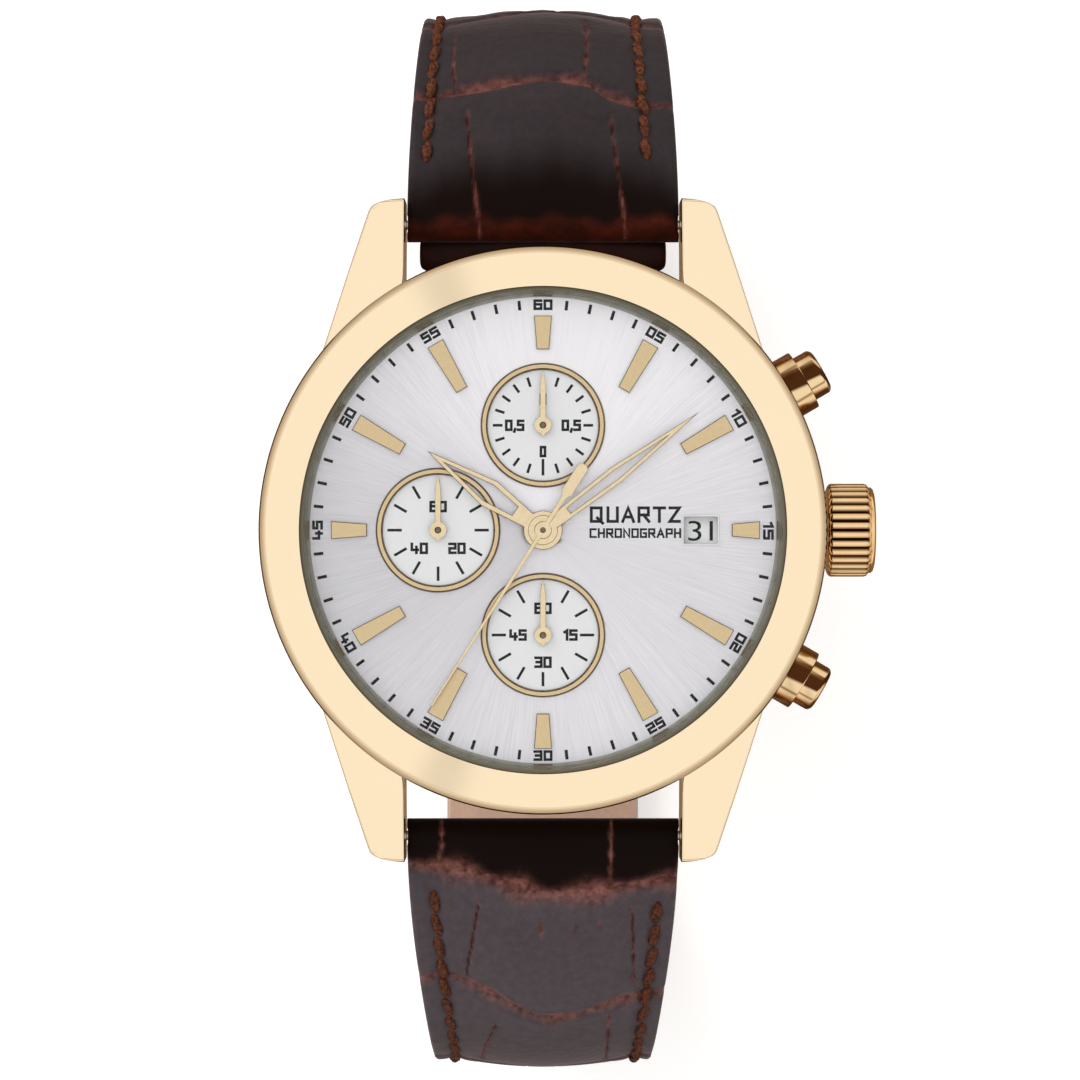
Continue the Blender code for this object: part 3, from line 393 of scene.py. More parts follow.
def leather(name, ground, sheen_patch, worn_dark, worn_pale):
    """Dark embossed leather. Its creases and burnished end come from the mesh's attributes, and so does
    painted shade, near black, where it bends towards the case.
    """
    look = Look(name, ground, 0.6, Coat_IOR=1.5, Coat_Roughness=0.36, Specular_IOR_Level=0.04)
    look.set("Sheen Weight", 0.14)
    look.set("Sheen Roughness", 0.35)
    look.set("Sheen Tint", (1.0, 0.9, 0.98, 1.0))
    crease, burnish, bend_shade = (look.attribute(a) for a in ("crease", "burnish", "bend_shade"))
    mottle = look.noise(210.0, 5.0, 0.62)
    fine = look.noise(1500.0, 4.0, 0.6)
    skin = look.mix(look.spread(mottle, 0.56, 0.82, 0.0, 0.4), ground, (0.040, 0.017, 0.013))
    # painted sheen: paler grey patches mixed into the colour
    skin = look.mix(look.spread(fine, 0.35, 0.75, 0.0, 0.4), skin, sheen_patch)
    # painted shade: near black where the leather bends towards the case
    skin = look.mix(bend_shade, skin, (0.0050, 0.0015, 0.0008))
    red = look.mix(look.spread(fine, 0.35, 0.65), worn_dark, worn_pale)
    rim = look.maths("MULTIPLY", burnish, look.spread(mottle, 0.36, 0.62, 0.3, 1.0))
    skin = look.mix(rim, skin, look.mix(fine, (0.030, 0.0035, 0.0015), (0.085, 0.013, 0.005)))
    worn = look.maths("MULTIPLY", crease, look.spread(mottle, 0.3, 0.55, 0.6, 1.0))
    look.set("Base Color", look.mix(worn, skin, red))
    shine = look.maths("SUBTRACT", 0.36, look.maths("MULTIPLY", bend_shade, 0.33))
    look.set("Coat Weight", look.maths("SUBTRACT", shine, look.maths("MULTIPLY", crease, 0.1)))
    pores = look.cells(2500.0)
    wrinkles = look.noise(620.0, 4.0, 0.6, look.stretched((1.0, 2.2, 2.2)))
    relief = look.maths("ADD", look.maths("MULTIPLY", pores, 0.35), look.maths("MULTIPLY", wrinkles, 1.1))
    relief = look.maths("MULTIPLY", relief, look.maths("SUBTRACT", 1.0, look.maths("MULTIPLY", bend_shade, 0.6)))
    values = {"Height": relief, "Strength": 0.4, "Distance": 0.00012}
    normal = look.node("ShaderNodeBump", values).outputs["Normal"]
    look.set("Normal", normal)
    look.set("Coat Normal", normal)
    return look


def tan_lining():
    look = Look("tan_lining", (0.52, 0.34, 0.25), 0.68, Sheen_Weight=0.25, Sheen_Roughness=0.5)
    nap = look.noise(2400.0, 5.0, 0.7)
    patches = look.noise(170.0, 3.0)
    suede = look.mix(look.spread(patches, 0.3, 0.7), (0.60, 0.41, 0.31), (0.50, 0.33, 0.245))
    look.set("Base Color", look.mix(look.spread(nap, 0.3, 0.7, 0.0, 0.5), suede, (0.40, 0.25, 0.18)))
    look.bump(nap, 0.4, 0.00008)
    return look


def waxed_thread():
    look = Look("waxed_thread", (0.08, 0.024, 0.010), 0.55, Specular_IOR_Level=0.2)
    fibres = look.noise(4200.0, 3.0, 0.6)
    look.set(
        "Base Color",
        look.mix(look.spread(fibres, 0.32, 0.68), (0.013, 0.0034, 0.0018), (0.140, 0.036, 0.0115)),
    )
    look.bump(fibres, 0.35, 0.00005)
    return look


GOLD = polished_gold()
SATIN = satin_gold()
PAINTED_REFLECTION_GOLD = gold_painted_reflections()
CROWN_GOLD = crown_gold()
EDGE = painted_dark_reflection()
RIM = rim_shadow()
HAND = hand_gold()
SILVER = sunburst_silver()
INK = print_black()
DATE_WHITE = date_white()
REHAUT = rehaut_olive()
STEEL = steel("brushed_steel", (0.46, 0.46, 0.47), (0.66, 0.66, 0.67), 0.28)
DARK_PIN = steel("dark_pin", (0.10, 0.07, 0.04), (0.30, 0.22, 0.13), 0.3)
TURNED_STEEL = turned_steel()
BRASS = movement_brass()
RUBBER = rubber()
PLASTIC = white_plastic()
GLASS = clear_glass()
LEATHER = leather(
    "croc_leather", (0.017, 0.0112, 0.0132), (0.030, 0.0225, 0.0265), (0.060, 0.015, 0.011),
    (0.19, 0.062, 0.045),
)
# painted light: a lighter copy of the same leather for the six o'clock half, where that half catches more
# light
LEATHER_6_PAINTED_LIGHT = leather(
    "croc_leather_6_painted_light", (0.054, 0.040, 0.0475), (0.094, 0.077, 0.089), (0.082, 0.024, 0.019),
    (0.27, 0.110, 0.090),
)
LINING = tan_lining()
THREAD = waxed_thread()
CAD_LOOKS = {
    "gold": GOLD, "pale_gold": SATIN, "dial_silver": SILVER, "steel": STEEL, "movement_brass": BRASS,
    "crystal": GLASS, "rubber_seal": RUBBER, "white_plastic": PLASTIC, "circuit": circuit_green(),
    "coil_copper": copper_wire(), "strap_leather": LEATHER, "strap_lining": LINING,
}


# ---------------------------------------------------------------- shapes


def turned(profile, steps=160):
    """A mesh of (radius, height) points turned about Z. A profile off the axis closes on itself."""
    shape = bmesh.new()
    rings = []
    for radius, height in profile:
        count = steps if radius > 1e-6 else 1
        turn = 2 * math.pi / count
        rings.append(
            [
                shape.verts.new((radius * math.cos(i * turn), radius * math.sin(i * turn), height))
                for i in range(count)
            ]
        )
    pairs = list(zip(rings, rings[1:]))
    if profile[0][0] > 1e-6:
        pairs.append((rings[-1], rings[0]))
    for first, second in pairs:
        for i in range(steps):
            j = (i + 1) % steps
            corners = [
                first[i % len(first)], first[j % len(first)], second[j % len(second)],
                second[i % len(second)],
            ]
            corners = list(dict.fromkeys(corners))
            if len(corners) > 2:
                shape.faces.new(corners)
    return meshed(shape)


def meshed(shape):
    bmesh.ops.recalc_face_normals(shape, faces=shape.faces)
    mesh = bpy.data.meshes.new("shape")
    shape.to_mesh(mesh)
    shape.free()
    return mesh


def rod(radius, low, high, edge=0.0):
    profile = [(0.0, high), (radius, high), (radius, low), (0.0, low)]
    return softened(profile, edge, False) if edge else profile


def ring(inner, outer, low, high, edge=0.0):
    profile = [(inner, high), (outer, high), (outer, low), (inner, low)]
    return softened(profile, edge) if edge else profile


def softened(points, radius, closed=True, steps=4):
    """The same outline with every corner rounded, by at most this far along each of its two sides."""
    found = []
    count = len(points)
    for i, point in enumerate(points):
        corner = Vector(point)
        if not closed and i in (0, count - 1):
            found.append(tuple(corner))
            continue
        before, after = Vector(points[i - 1]) - corner, Vector(points[(i + 1) % count]) - corner
        start = corner + before * min(radius / before.length, 0.45)
        end = corner + after * min(radius / after.length, 0.45)
        for k in range(steps + 1):
            t = k / steps
            found.append(tuple(start * (1 - t) ** 2 + corner * (2 * t * (1 - t)) + end * t**2))
    return found


def circle(radius, count=64, centre=(0.0, 0.0)):
    turn = 2 * math.pi / count
    return [
        (centre[0] + radius * math.cos(i * turn), centre[1] + radius * math.sin(i * turn))
        for i in range(count)
    ]


def signed_area(outline):
    pairs = zip(outline, outline[1:] + outline[:1])
    return sum(a[0] * b[1] - b[0] * a[1] for a, b in pairs) / 2


def plate(outlines, low, high, bevel=0.0):
    """Flat outlines drawn out along Z, the first outermost and the rest holes, with rounded edges."""
    curve = bpy.data.curves.new("plate", "CURVE")
    curve.dimensions = "2D"
    curve.fill_mode = "BOTH"
    curve.extrude = (high - low) / 2 - bevel
    curve.bevel_depth = bevel
    curve.bevel_resolution = 2
    curve.offset = -bevel
    for i, outline in enumerate(outlines):
        outline = list(outline)
        if (signed_area(outline) > 0) != (i == 0):
            outline.reverse()
        spline = curve.splines.new("POLY")
        spline.points.add(len(outline) - 1)
        for point, (x, y) in zip(spline.points, outline):
            point.co = (x, y, 0.0, 1.0)
        spline.use_cyclic_u = True
    holder = bpy.data.objects.new("plate", curve)
    bpy.context.scene.collection.objects.link(holder)
    shape = bmesh.new()
    shape.from_mesh(evaluated(holder))
    bpy.data.objects.remove(holder)
    bmesh.ops.remove_doubles(shape, verts=shape.verts, dist=1e-5)
    bmesh.ops.translate(shape, vec=(0.0, 0.0, (low + high) / 2), verts=shape.verts)
    return meshed(shape)


def evaluated(holder):
    bpy.context.view_layer.update()
    graph = bpy.context.evaluated_depsgraph_get()
    return bpy.data.meshes.new_from_object(holder.evaluated_get(graph))


def joined(meshes):
    """Several meshes as one."""
    shape = bmesh.new()
    for mesh in meshes:
        shape.from_mesh(mesh)
    mesh = bpy.data.meshes.new("shape")
    shape.to_mesh(mesh)
    shape.free()
    return mesh


def combined(mesh, other, operation):
    """The union or difference of two closed meshes."""
    holders = [bpy.data.objects.new("solid", m) for m in (mesh, other)]
    for holder in holders:
        bpy.context.scene.collection.objects.link(holder)
    modifier = holders[0].modifiers.new("with", "BOOLEAN")
    modifier.operation = operation
    modifier.solver = "EXACT"
    modifier.object = holders[1]
    found = evaluated(holders[0])
    for holder in holders:
        bpy.data.objects.remove(holder)
    return found


def moved(mesh, matrix):
    mesh.transform(matrix)
    return mesh


def piece(
    name, mesh, look, body, replaces=(), crease_angle=35.0, weighted=True, sides=None,
    steepest=0.96
):
    """A finished piece, in metres and shaded smooth, riding on its body. Its sides may look different."""
    mesh.name = name
    mesh.transform(Matrix.Scale(MM, 4))
    mesh.materials.clear()
    mesh.materials.append(look.material)
    if sides:
        mesh.materials.append(sides.material)
        for face in mesh.polygons:
            face.material_index = int(face.normal.z < steepest)
    mesh.shade_smooth()
    mesh.set_sharp_from_angle(angle=math.radians(crease_angle))
    obj = bpy.data.objects.new(name, mesh)
    bpy.context.scene.collection.objects.link(obj)
    if weighted:
        even = obj.modifiers.new("even_shading", "WEIGHTED_NORMAL")
        even.keep_sharp = True
    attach(obj, body)
    if replaces:
        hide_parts(*replaces)
    return obj


def at(x, y, z=0.0):
    return Matrix.Translation((x, y, z))


def spun(degrees):
    """A turn clockwise about Z as seen from above."""
    return Matrix.Rotation(math.radians(-degrees), 4, "Z")


def radial(angle, height):
    """The frame of a piece whose own Z points outwards from the case at this angle."""
    turn = Matrix.Rotation(math.radians(angle), 4, "Z") @ Matrix.Rotation(math.pi / 2, 4, "Y")
    return Matrix.Translation((0.0, 0.0, height)) @ turn


def across(y, z):
    """The frame of a piece turned about a line along X."""
    return Matrix.Translation((0.0, y, z)) @ Matrix.Rotation(math.pi / 2, 4, "Y")


# ---------------------------------------------------------------- case

BEZEL_RADIUS = box_of("bezel")[1].x
BEZEL_TOP = box_of("bezel")[1].z
BAR_12 = sum(box_of("lug_spring_bar_12"), Vector()) / 2
LUG_INNER_X = 10.3
LUG_TIP_Y = box_of("case_middle")[1].y
LUG_TIP_OUTER_X = 12.65
LUG_TAPER = 0.321
CASE_RADIUS = 20.45
CASE_BORE = 18.7
CASE_BODY_LOW = 36.4


def lug(side_x, side_y):
    """One lug, lofted along the strap: upright inner face, slanting outer one, and a rounded tip."""
    tip, last, edge = LUG_TIP_Y, 0.9, 0.18
    root_x = LUG_TIP_OUTER_X + LUG_TAPER * (tip - 9.0)
    shoulder = tip - 0.62
    shoulder_x = LUG_TIP_OUTER_X + LUG_TAPER * (tip - shoulder)
    end_line = [
        (LUG_INNER_X + 0.2, tip), (11.5, tip - 0.1), (12.2, tip - 0.29), (shoulder_x, shoulder),
        (root_x, 9.0),
    ]
    plan = np.array(softened(end_line, 0.42, False, 6))[::-1]
    upper = np.array(softened([(9.0, 43.2), (19.5, 43.0), (tip, 41.75)], 0.8, False, 6))
    lower = np.array(
        softened([(9.0, 37.0), (20.5, 36.2), (22.3, 35.5), (24.0, 35.6), (tip, 35.9)], 0.8, False, 6)
    )
    closing = np.linspace(0.0, 1.0, 22)
    along = np.concatenate([np.linspace(9.0, tip - last, 40)[:-1], tip - last * (1.0 - closing) ** 2])
    turn = np.radians(np.linspace(0.0, 90.0, 5))
    rings = []
    for y in along:
        outer_x = np.interp(y, plan[:, 1], plan[:, 0])
        near = 0.3 - min(tip - y, 0.3)
        cut = 0.3 - math.sqrt(0.3**2 - near**2)
        low, high = np.interp(y, *lower.T) + cut, np.interp(y, *upper.T) - cut
        corner = min(edge, (outer_x - LUG_INNER_X) * 0.45)
        middles = [
            (outer_x, high, 0.0), (LUG_INNER_X, high, 90.0), (LUG_INNER_X, low, 180.0),
            (outer_x, low, 270.0),
        ]
        points = []
        for x, z, start in middles:
            centre_x = x - corner if x == outer_x else x + corner
            centre_z = z - corner if z == high else z + corner
            angles = turn + math.radians(start)
            points += [(centre_x + corner * math.cos(a), y, centre_z + corner * math.sin(a)) for a in angles]
        rings.append(np.array(points) * (side_x, side_y, 1.0))
    return lofted(rings)


def case_shell():
    profile = [
        (0.0, 43.7), (CASE_RADIUS, 43.7), (CASE_RADIUS, 38.2), (19.9, CASE_BODY_LOW),
        (0.0, CASE_BODY_LOW),
    ]
    body = turned(softened(profile, 0.35, False), 200)
    for side_x in (-1, 1):
        for side_y in (-1, 1):
            body = combined(body, lug(side_x, side_y), "UNION")
    cuts = [
        turned(rod(CASE_BORE, 30.0, 50.0), 200),
        moved(turned(rod(1.3, 17.0, 22.0), 48), radial(0.0, CROWN_Z)),
    ]
    cuts += [
        moved(turned(rod(1.15, 17.0, 22.0), 48), radial(angle, CROWN_Z))
        for angle in PUSHER_ANGLES.values()
    ]
    for side in (-1, 1):
        cuts.append(moved(turned(rod(0.5, -11.3, 11.3), 32), across(side * BAR_12.y, BAR_12.z)))
    for cut in cuts:
        body = combined(body, cut, "DIFFERENCE")
    piece("case_shell", body, GOLD, "case", ["case_middle"], crease_angle=28.0)


def bezel_and_glass():
    profile = [
        (17.90, BEZEL_TOP), (20.45, 45.05), (BEZEL_RADIUS - 0.12, 44.55), (BEZEL_RADIUS, 44.05),
        (BEZEL_RADIUS, 43.95),
        (20.70, 43.75), (18.00, 43.75), (18.00, 45.50),
    ]
    outline = turned(softened(profile, 0.05), 256)
    piece("bezel_ring", outline, GOLD, "case", ["bezel"], crease_angle=20.0, sides=RIM, steepest=0.5)
    low, high = box_of("crystal")
    edge = 0.2
    profile = [(0.0, high.z), (high.x - edge, high.z), (high.x, high.z - edge), (high.x, low.z), (0.0, low.z)]
    piece("watch_glass", turned(softened(profile, 0.05, False), 192), GLASS, "case", ["crystal"])
    gasket = ring(17.62, 17.94, 43.95, 45.4, 0.06)
    piece("glass_gasket", turned(gasket, 192), REHAUT, "case", ["crystal_gasket"])
    profile = [(17.55, 43.88), (17.90, 43.88), (17.90, 42.56), (17.28, 42.56)]
    piece("rehaut_ring", turned(softened(profile, 0.05), 240), REHAUT, "case", ["flange_ring"])
    block = [(-0.68, 17.3), (0.68, 17.3), (0.68, 17.62), (-0.68, 17.62)]
    blocks = [moved(plate([block], 42.95, 43.2, 0.02), spun(30 * hour)) for hour in range(12)]
    piece("rehaut_blocks", joined(blocks), EDGE, "case", crease_angle=30.0)


def back_cover():
    profile = [
        (0.0, 35.95), (16.8, 35.95), (16.8, 36.95), (18.4, 36.95), (18.4, 36.10), (19.35, 36.10),
        (19.35, 35.50), (18.55, 34.90), (13.6, 34.84), (13.5, 34.92), (13.2, 34.92), (13.1, 34.82),
        (0.0, 34.80),
    ]
    cover = turned(softened(profile, 0.12, False), 192)
    for i in range(6):
        notch = plate([softened([(16.9, -1.3), (20.0, -1.3), (20.0, 1.3), (16.9, 1.3)], 0.5)], 34.0, 35.35)
        cover = combined(cover, moved(notch, spun(30 + 60 * i)), "DIFFERENCE")
    piece("back_cover", cover, TURNED_STEEL, "case", ["case_back"], crease_angle=30.0)
    profile = ring(18.8, 19.3, 36.14, 36.36, 0.09)
    piece("back_seal", turned(profile, 128), RUBBER, "case", ["case_back_gasket"])


def spring_bars():
    for hour, side in (("12", 1), ("6", -1)):
        half = [
            (0.0, 11.0), (0.35, 11.0), (0.35, 10.0), (0.75, 10.0), (0.75, 9.2), (0.62, 9.1), (0.62, 8.9),
            (0.75, 8.8),
        ]
        profile = half + [(radius, -height) for radius, height in reversed(half)]
        bar = moved(turned(softened(profile, 0.06, False, 3), 40), across(side * BAR_12.y, BAR_12.z))
        piece(f"spring_bar_{hour}", bar, STEEL, "case", [f"lug_spring_bar_{hour}"])


# ---------------------------------------------------------------- crown and pushers

CROWN_Z = (sum(box_of("crown"), Vector()) / 2).z
CROWN_OUTER = box_of("crown")[1].x
CROWN_INNER = box_of("crown")[0].x
CROWN_RADIUS = box_of("crown")[1].z - CROWN_Z
CROWN_FLUTES = 30
PUSHER_ANGLES = {"pusher_2": 30.0, "pusher_4": -30.0}


def crown():
    """A fluted knob whose ribs fade out at both ends, with a bevelled end disc."""
    steps = CROWN_FLUTES * 12
    depth = 0.26
    profile = [
        (1.8, CROWN_INNER, 0.0), (CROWN_RADIUS - 0.42, CROWN_INNER, 0.0), (
            CROWN_RADIUS - 0.2, CROWN_INNER + 0.08, 0.3,
        ),
        (CROWN_RADIUS - 0.05, CROWN_INNER + 0.2, 0.8), (CROWN_RADIUS, CROWN_INNER + 0.34, 1.0),
        (CROWN_RADIUS, CROWN_OUTER - 0.75, 1.0), (CROWN_RADIUS - 0.05, CROWN_OUTER - 0.58, 0.8),
        (CROWN_RADIUS - 0.2, CROWN_OUTER - 0.44, 0.3), (CROWN_RADIUS - 0.34, CROWN_OUTER - 0.38, 0.0),
        (CROWN_RADIUS - 0.27, CROWN_OUTER - 0.33, 0.0), (CROWN_RADIUS - 0.27, CROWN_OUTER - 0.24, 0.0),
        (CROWN_RADIUS - 0.4, CROWN_OUTER - 0.1, 0.0), (CROWN_RADIUS - 0.66, CROWN_OUTER - 0.02, 0.0),
        (CROWN_RADIUS - 0.9, CROWN_OUTER, 0.0), (0.0, CROWN_OUTER, 0.0),
    ]
    shape = bmesh.new()
    rings = []
    for radius, height, fluted in profile:
        row = []
        for i in range(steps if radius else 1):
            angle = 2 * math.pi * i / steps
            wave = abs(math.sin(angle * CROWN_FLUTES / 2)) ** 1.1
            r = radius - depth * fluted * (1 - wave)
            row.append(shape.verts.new((r * math.cos(angle), r * math.sin(angle), height)))
        rings.append(row)
    for first, second in zip(rings, rings[1:]):
        for i in range(steps):
            j = (i + 1) % steps
            corners = [first[i], first[j], second[j % len(second)], second[i % len(second)]]
            shape.faces.new(list(dict.fromkeys(corners)))
    cavity = [(1.8, 23.3), (0.58, 23.3), (0.58, 24.2), (0.0, 24.2)]
    last = rings[0]
    for radius, height in cavity:
        row = []
        for i in range(steps if radius else 1):
            angle = 2 * math.pi * i / steps
            row.append(shape.verts.new((radius * math.cos(angle), radius * math.sin(angle), height)))
        for i in range(steps):
            j = (i + 1) % steps
            corners = [last[j], last[i], row[i % len(row)], row[j % len(row)]]
            shape.faces.new(list(dict.fromkeys(corners)))
        last = row
    knob = moved(meshed(shape), radial(0.0, CROWN_Z))
    reach = [math.hypot(point.co.y, point.co.z - CROWN_Z) for point in knob.vertices]
    out = [CROWN_INNER + 0.1 < point.co.x < CROWN_OUTER - 0.5 for point in knob.vertices]
    # painted shade: the gold turns dark brown down in the grooves between the ribs
    add_value(
        knob, "groove_shade",
        [min(max((CROWN_RADIUS - 0.04 - r) / 0.13, 0.0), 1.0) * o for r, o in zip(reach, out)],
    )
    piece("crown_knob", knob, CROWN_GOLD, "crown_body", ["crown"], crease_angle=50.0)


def pushers():
    bodies = {"pusher_2": "start_pusher", "pusher_4": "reset_pusher"}
    for name, angle in PUSHER_ANGLES.items():
        place = radial(angle, CROWN_Z)
        collar = [
            (1.85, 22.5), (2.32, 22.5), (2.32, 20.5), (1.1, 20.5),
            (1.1, 18.9), (0.55, 18.9), (0.55, 20.75), (1.85, 20.75),
        ]
        tube = moved(turned(softened(collar, 0.1), 96), place)
        piece(f"{name}_collar", tube, PAINTED_REFLECTION_GOLD, "case", [f"{name}_tube"])
        cap = [
            (0.0, 24.0), (1.5, 24.0), (1.775, 23.75), (1.775, 22.1), (0.45, 22.1), (0.45, 17.6),
            (0.0, 17.6),
        ]
        button = moved(turned(softened(cap, 0.14, False), 96), place)
        piece(f"{name}_button", button, PAINTED_REFLECTION_GOLD, bodies[name], [name])


def return_springs():
    """A fine coil under each pusher's cap, fixed to the case."""
    joints = {"pusher_2": ("start_push", 30.0), "pusher_4": ("reset_push", -30.0)}
    turns, steps, low, high = 3.5, 24, 20.89, 21.98
    for name, (joint, angle) in joints.items():
        curve = bpy.data.curves.new("coil", "CURVE")
        curve.dimensions = "3D"
        curve.bevel_depth = 0.07
        curve.bevel_resolution = 3
        curve.use_fill_caps = True
        spline = curve.splines.new("POLY")
        count = int(turns * steps)
        spline.points.add(count)
        for i, point in enumerate(spline.points):
            around = 2 * math.pi * i / steps
            point.co = (1.25 * math.cos(around), 1.25 * math.sin(around), low + (high - low) * i / count, 1.0)
        holder = bpy.data.objects.new("coil", curve)
        bpy.context.scene.collection.objects.link(holder)
        wire = moved(evaluated(holder), radial(angle, CROWN_Z))
        bpy.data.objects.remove(holder)
        coil = piece(
            f"{name}_coil", wire, STEEL, "case", [f"{name}_spring"], crease_angle=60.0, weighted=False,
        )
        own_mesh(coil)


def centre_wheel():
    """The minute hand's wheel, its teeth just short enough to clear the third wheel's at every angle."""
    mesh = frame["nodes"]["centre_wheel"].data.copy()
    shorter = 0.985 / MM
    piece(
        "centre_wheel_cut", moved(mesh, Matrix.Diagonal((shorter, shorter, 1 / MM, 1.0))), BRASS,
        "minutes", ["centre_wheel"],
    )


# ---------------------------------------------------------------- dial

DIAL_TOP = 42.5
DIAL_LOW = box_of("dial")[0].z
DIAL_RADIUS = box_of("dial")[1].x
COUNTERS = {hour: (sum(box_of(f"subdial_ring_{hour}"), Vector()) / 2).xy for hour in ("12", "9", "6")}
COUNTER_OUTER, COUNTER_INNER = 4.65, 4.08
COUNTER_FLOOR = DIAL_TOP - 0.14
PRINT_THICK = 0.012
DATE_X = 11.7
DATE_HALF = (1.25, 1.0)

GLYPHS = {
    "0": [[(0, 0), (2, 0), (2, 4), (0, 4), (0, 0)]],
    "1": [[(0.35, 3.3), (1.2, 4), (1.2, 0)]],
    "2": [[(0, 4), (2, 4), (2, 2), (0, 2), (0, 0), (2, 0)]],
    "3": [[(0, 4), (2, 4), (2, 0), (0, 0)], [(0.4, 2.05), (2, 2.05)]],
    "4": [[(0, 4), (0, 1.3), (2.1, 1.3)], [(1.6, 2.6), (1.6, 0)]],
    "5": [[(2, 4), (0, 4), (0, 2.2), (2, 2.2), (2, 0), (0, 0)]],
    "6": [[(2, 4), (0, 4), (0, 0), (2, 0), (2, 2.2), (0, 2.2)]],
    "7": [[(0, 4), (2, 4), (0.8, 0)]],
    "8": [[(0, 0), (2, 0), (2, 4), (0, 4), (0, 0)], [(0, 2.05), (2, 2.05)]],
    "9": [[(2, 1.9), (0, 1.9), (0, 4), (2, 4), (2, 0), (0, 0)]],
    ",": [[(0.35, 0.25), (0.05, -0.8)]],
    "A": [[(0, 0), (1.15, 4), (2.3, 0)], [(0.45, 1.3), (1.85, 1.3)]],
    "C": [[(2, 4), (0, 4), (0, 0), (2, 0)]],
    "G": [[(2, 4), (0, 4), (0, 0), (2, 0), (2, 2), (1.1, 2)]],
    "H": [[(0, 0), (0, 4)], [(2, 0), (2, 4)], [(0, 2), (2, 2)]],
    "N": [[(0, 0), (0, 4), (2, 0), (2, 4)]],
    "O": [[(0, 0), (2.1, 0), (2.1, 4), (0, 4), (0, 0)]],
    "P": [[(0, 0), (0, 4), (2, 4), (2, 1.8), (0, 1.8)]],
    "Q": [[(0, 0), (2.1, 0), (2.1, 4), (0, 4), (0, 0)], [(1.3, 1.0), (2.4, -0.5)]],
    "R": [[(0, 0), (0, 4), (2, 4), (2, 1.9), (0, 1.9)], [(1.0, 1.9), (2.1, 0)]],
    "T": [[(0, 4), (2.2, 4)], [(1.1, 4), (1.1, 0)]],
    "U": [[(0, 4), (0, 0), (2, 0), (2, 4)]],
    "Z": [[(0, 4), (2, 4), (0, 0), (2, 0)]],
}
GLYPH_HEIGHT = 4.0


def stroke(points, width, height):
    """A closed ribbon of this width along a polyline, mitred at its corners, standing height tall from 0."""
    closed = points[0] == points[-1]
    line = [Vector(p) for p in (points[:-1] if closed else points)]
    count = len(line)
    sides = []
    for i, point in enumerate(line):
        before = (point - line[i - 1]).normalized() if closed or i > 0 else None
        after = (line[(i + 1) % count] - point).normalized() if closed or i < count - 1 else None
        along = before or after
        onward = after or before
        normal = (Vector((-along.y, along.x)) + Vector((-onward.y, onward.x))).normalized()
        reach = width / 2 / max(normal.dot(Vector((-along.y, along.x))), 0.45)
        cap = Vector((0.0, 0.0))
        if not closed and i in (0, count - 1):
            cap = (along if i else -along) * (width / 2)
        sides.append((point + cap + normal * reach, point + cap - normal * reach))
    shape = bmesh.new()
    rows = [
        [shape.verts.new((*spot, z)) for spot in pair for z in (0.0, height)] for pair in sides
    ]
    links = list(zip(rows, rows[1:])) + ([(rows[-1], rows[0])] if closed else [])
    for a, b in links:
        for i, j in ((0, 1), (1, 3), (3, 2), (2, 0)):
            shape.faces.new((a[i], a[j], b[j], b[i]))
    if not closed:
        for row in (rows[0], rows[-1]):
            shape.faces.new((row[0], row[1], row[3], row[2]))
    return meshed(shape)


def lettering(text, height, width, weight, frame):
    """Text in plain squared strokes, centred on the frame's origin and drawn to this height and width."""
    advance, cursor, strokes = 1.15, 0.0, []
    for letter in text:
        lines = GLYPHS[letter]
        breadth = max(x for line in lines for x, _ in line)
        strokes += [[(x + cursor, y) for x, y in line] for line in lines]
        cursor += breadth + advance
    span = cursor - advance
    scale_x, scale_y = (width - weight) / span, (height - weight) / GLYPH_HEIGHT
    found = []
    for line in strokes:
        drawn = [((x - span / 2) * scale_x, (y - GLYPH_HEIGHT / 2) * scale_y) for x, y in line]
        found.append(moved(stroke(drawn, weight, PRINT_THICK), frame))
    return found


def tick(angle, inner, outer, width, frame):
    return moved(stroke([(0.0, inner), (0.0, outer)], width, PRINT_THICK), frame @ spun(angle))


def marker_outline(hour):
    """A tapered baton pointing at the centre, wider at its outer end."""
    inner, outer = {
        12: (13.4, 15.9), 6: (13.6, 16.2), 9: (13.05, 15.7), 3: (14.0, 16.07),
    }.get(hour, (12.0, 15.97))
    return [(-0.465, inner), (0.465, inner), (0.66, outer), (-0.66, outer)]


def dial_plate():
    x, y = DATE_HALF
    window = softened([(DATE_X - x, -y), (DATE_X + x, -y), (DATE_X + x, y), (DATE_X - x, y)], 0.1)
    holes = [circle(0.95, 48), window] + [
        circle(COUNTER_INNER + 0.12, 96, centre)
        for centre in COUNTERS.values()
    ]
    disc = plate([circle(DIAL_RADIUS, 200)] + holes, DIAL_LOW, DIAL_TOP, 0.03)
    piece("dial_plate", disc, SILVER, "case", ["dial"], crease_angle=30.0)
    batons = []
    for hour in range(1, 13):
        facet = plate([marker_outline(hour)], DIAL_TOP - 0.1, DIAL_TOP + 0.4, 0.1)
        batons.append(moved(facet, spun(30 * hour)))
    piece("hour_markers", joined(batons), SATIN, "case", crease_angle=25.0, sides=EDGE)
    wide = softened(
        [(DATE_X - x - 0.16, -y - 0.16), (DATE_X + x + 0.16, -y - 0.16),
         (DATE_X + x + 0.16, y + 0.16), (DATE_X - x - 0.16, y + 0.16)], 0.12,
    )
    edge = plate([wide, window], DIAL_TOP, DIAL_TOP + 0.07, 0.03)
    piece("date_frame", edge, SILVER, "case", crease_angle=30.0)


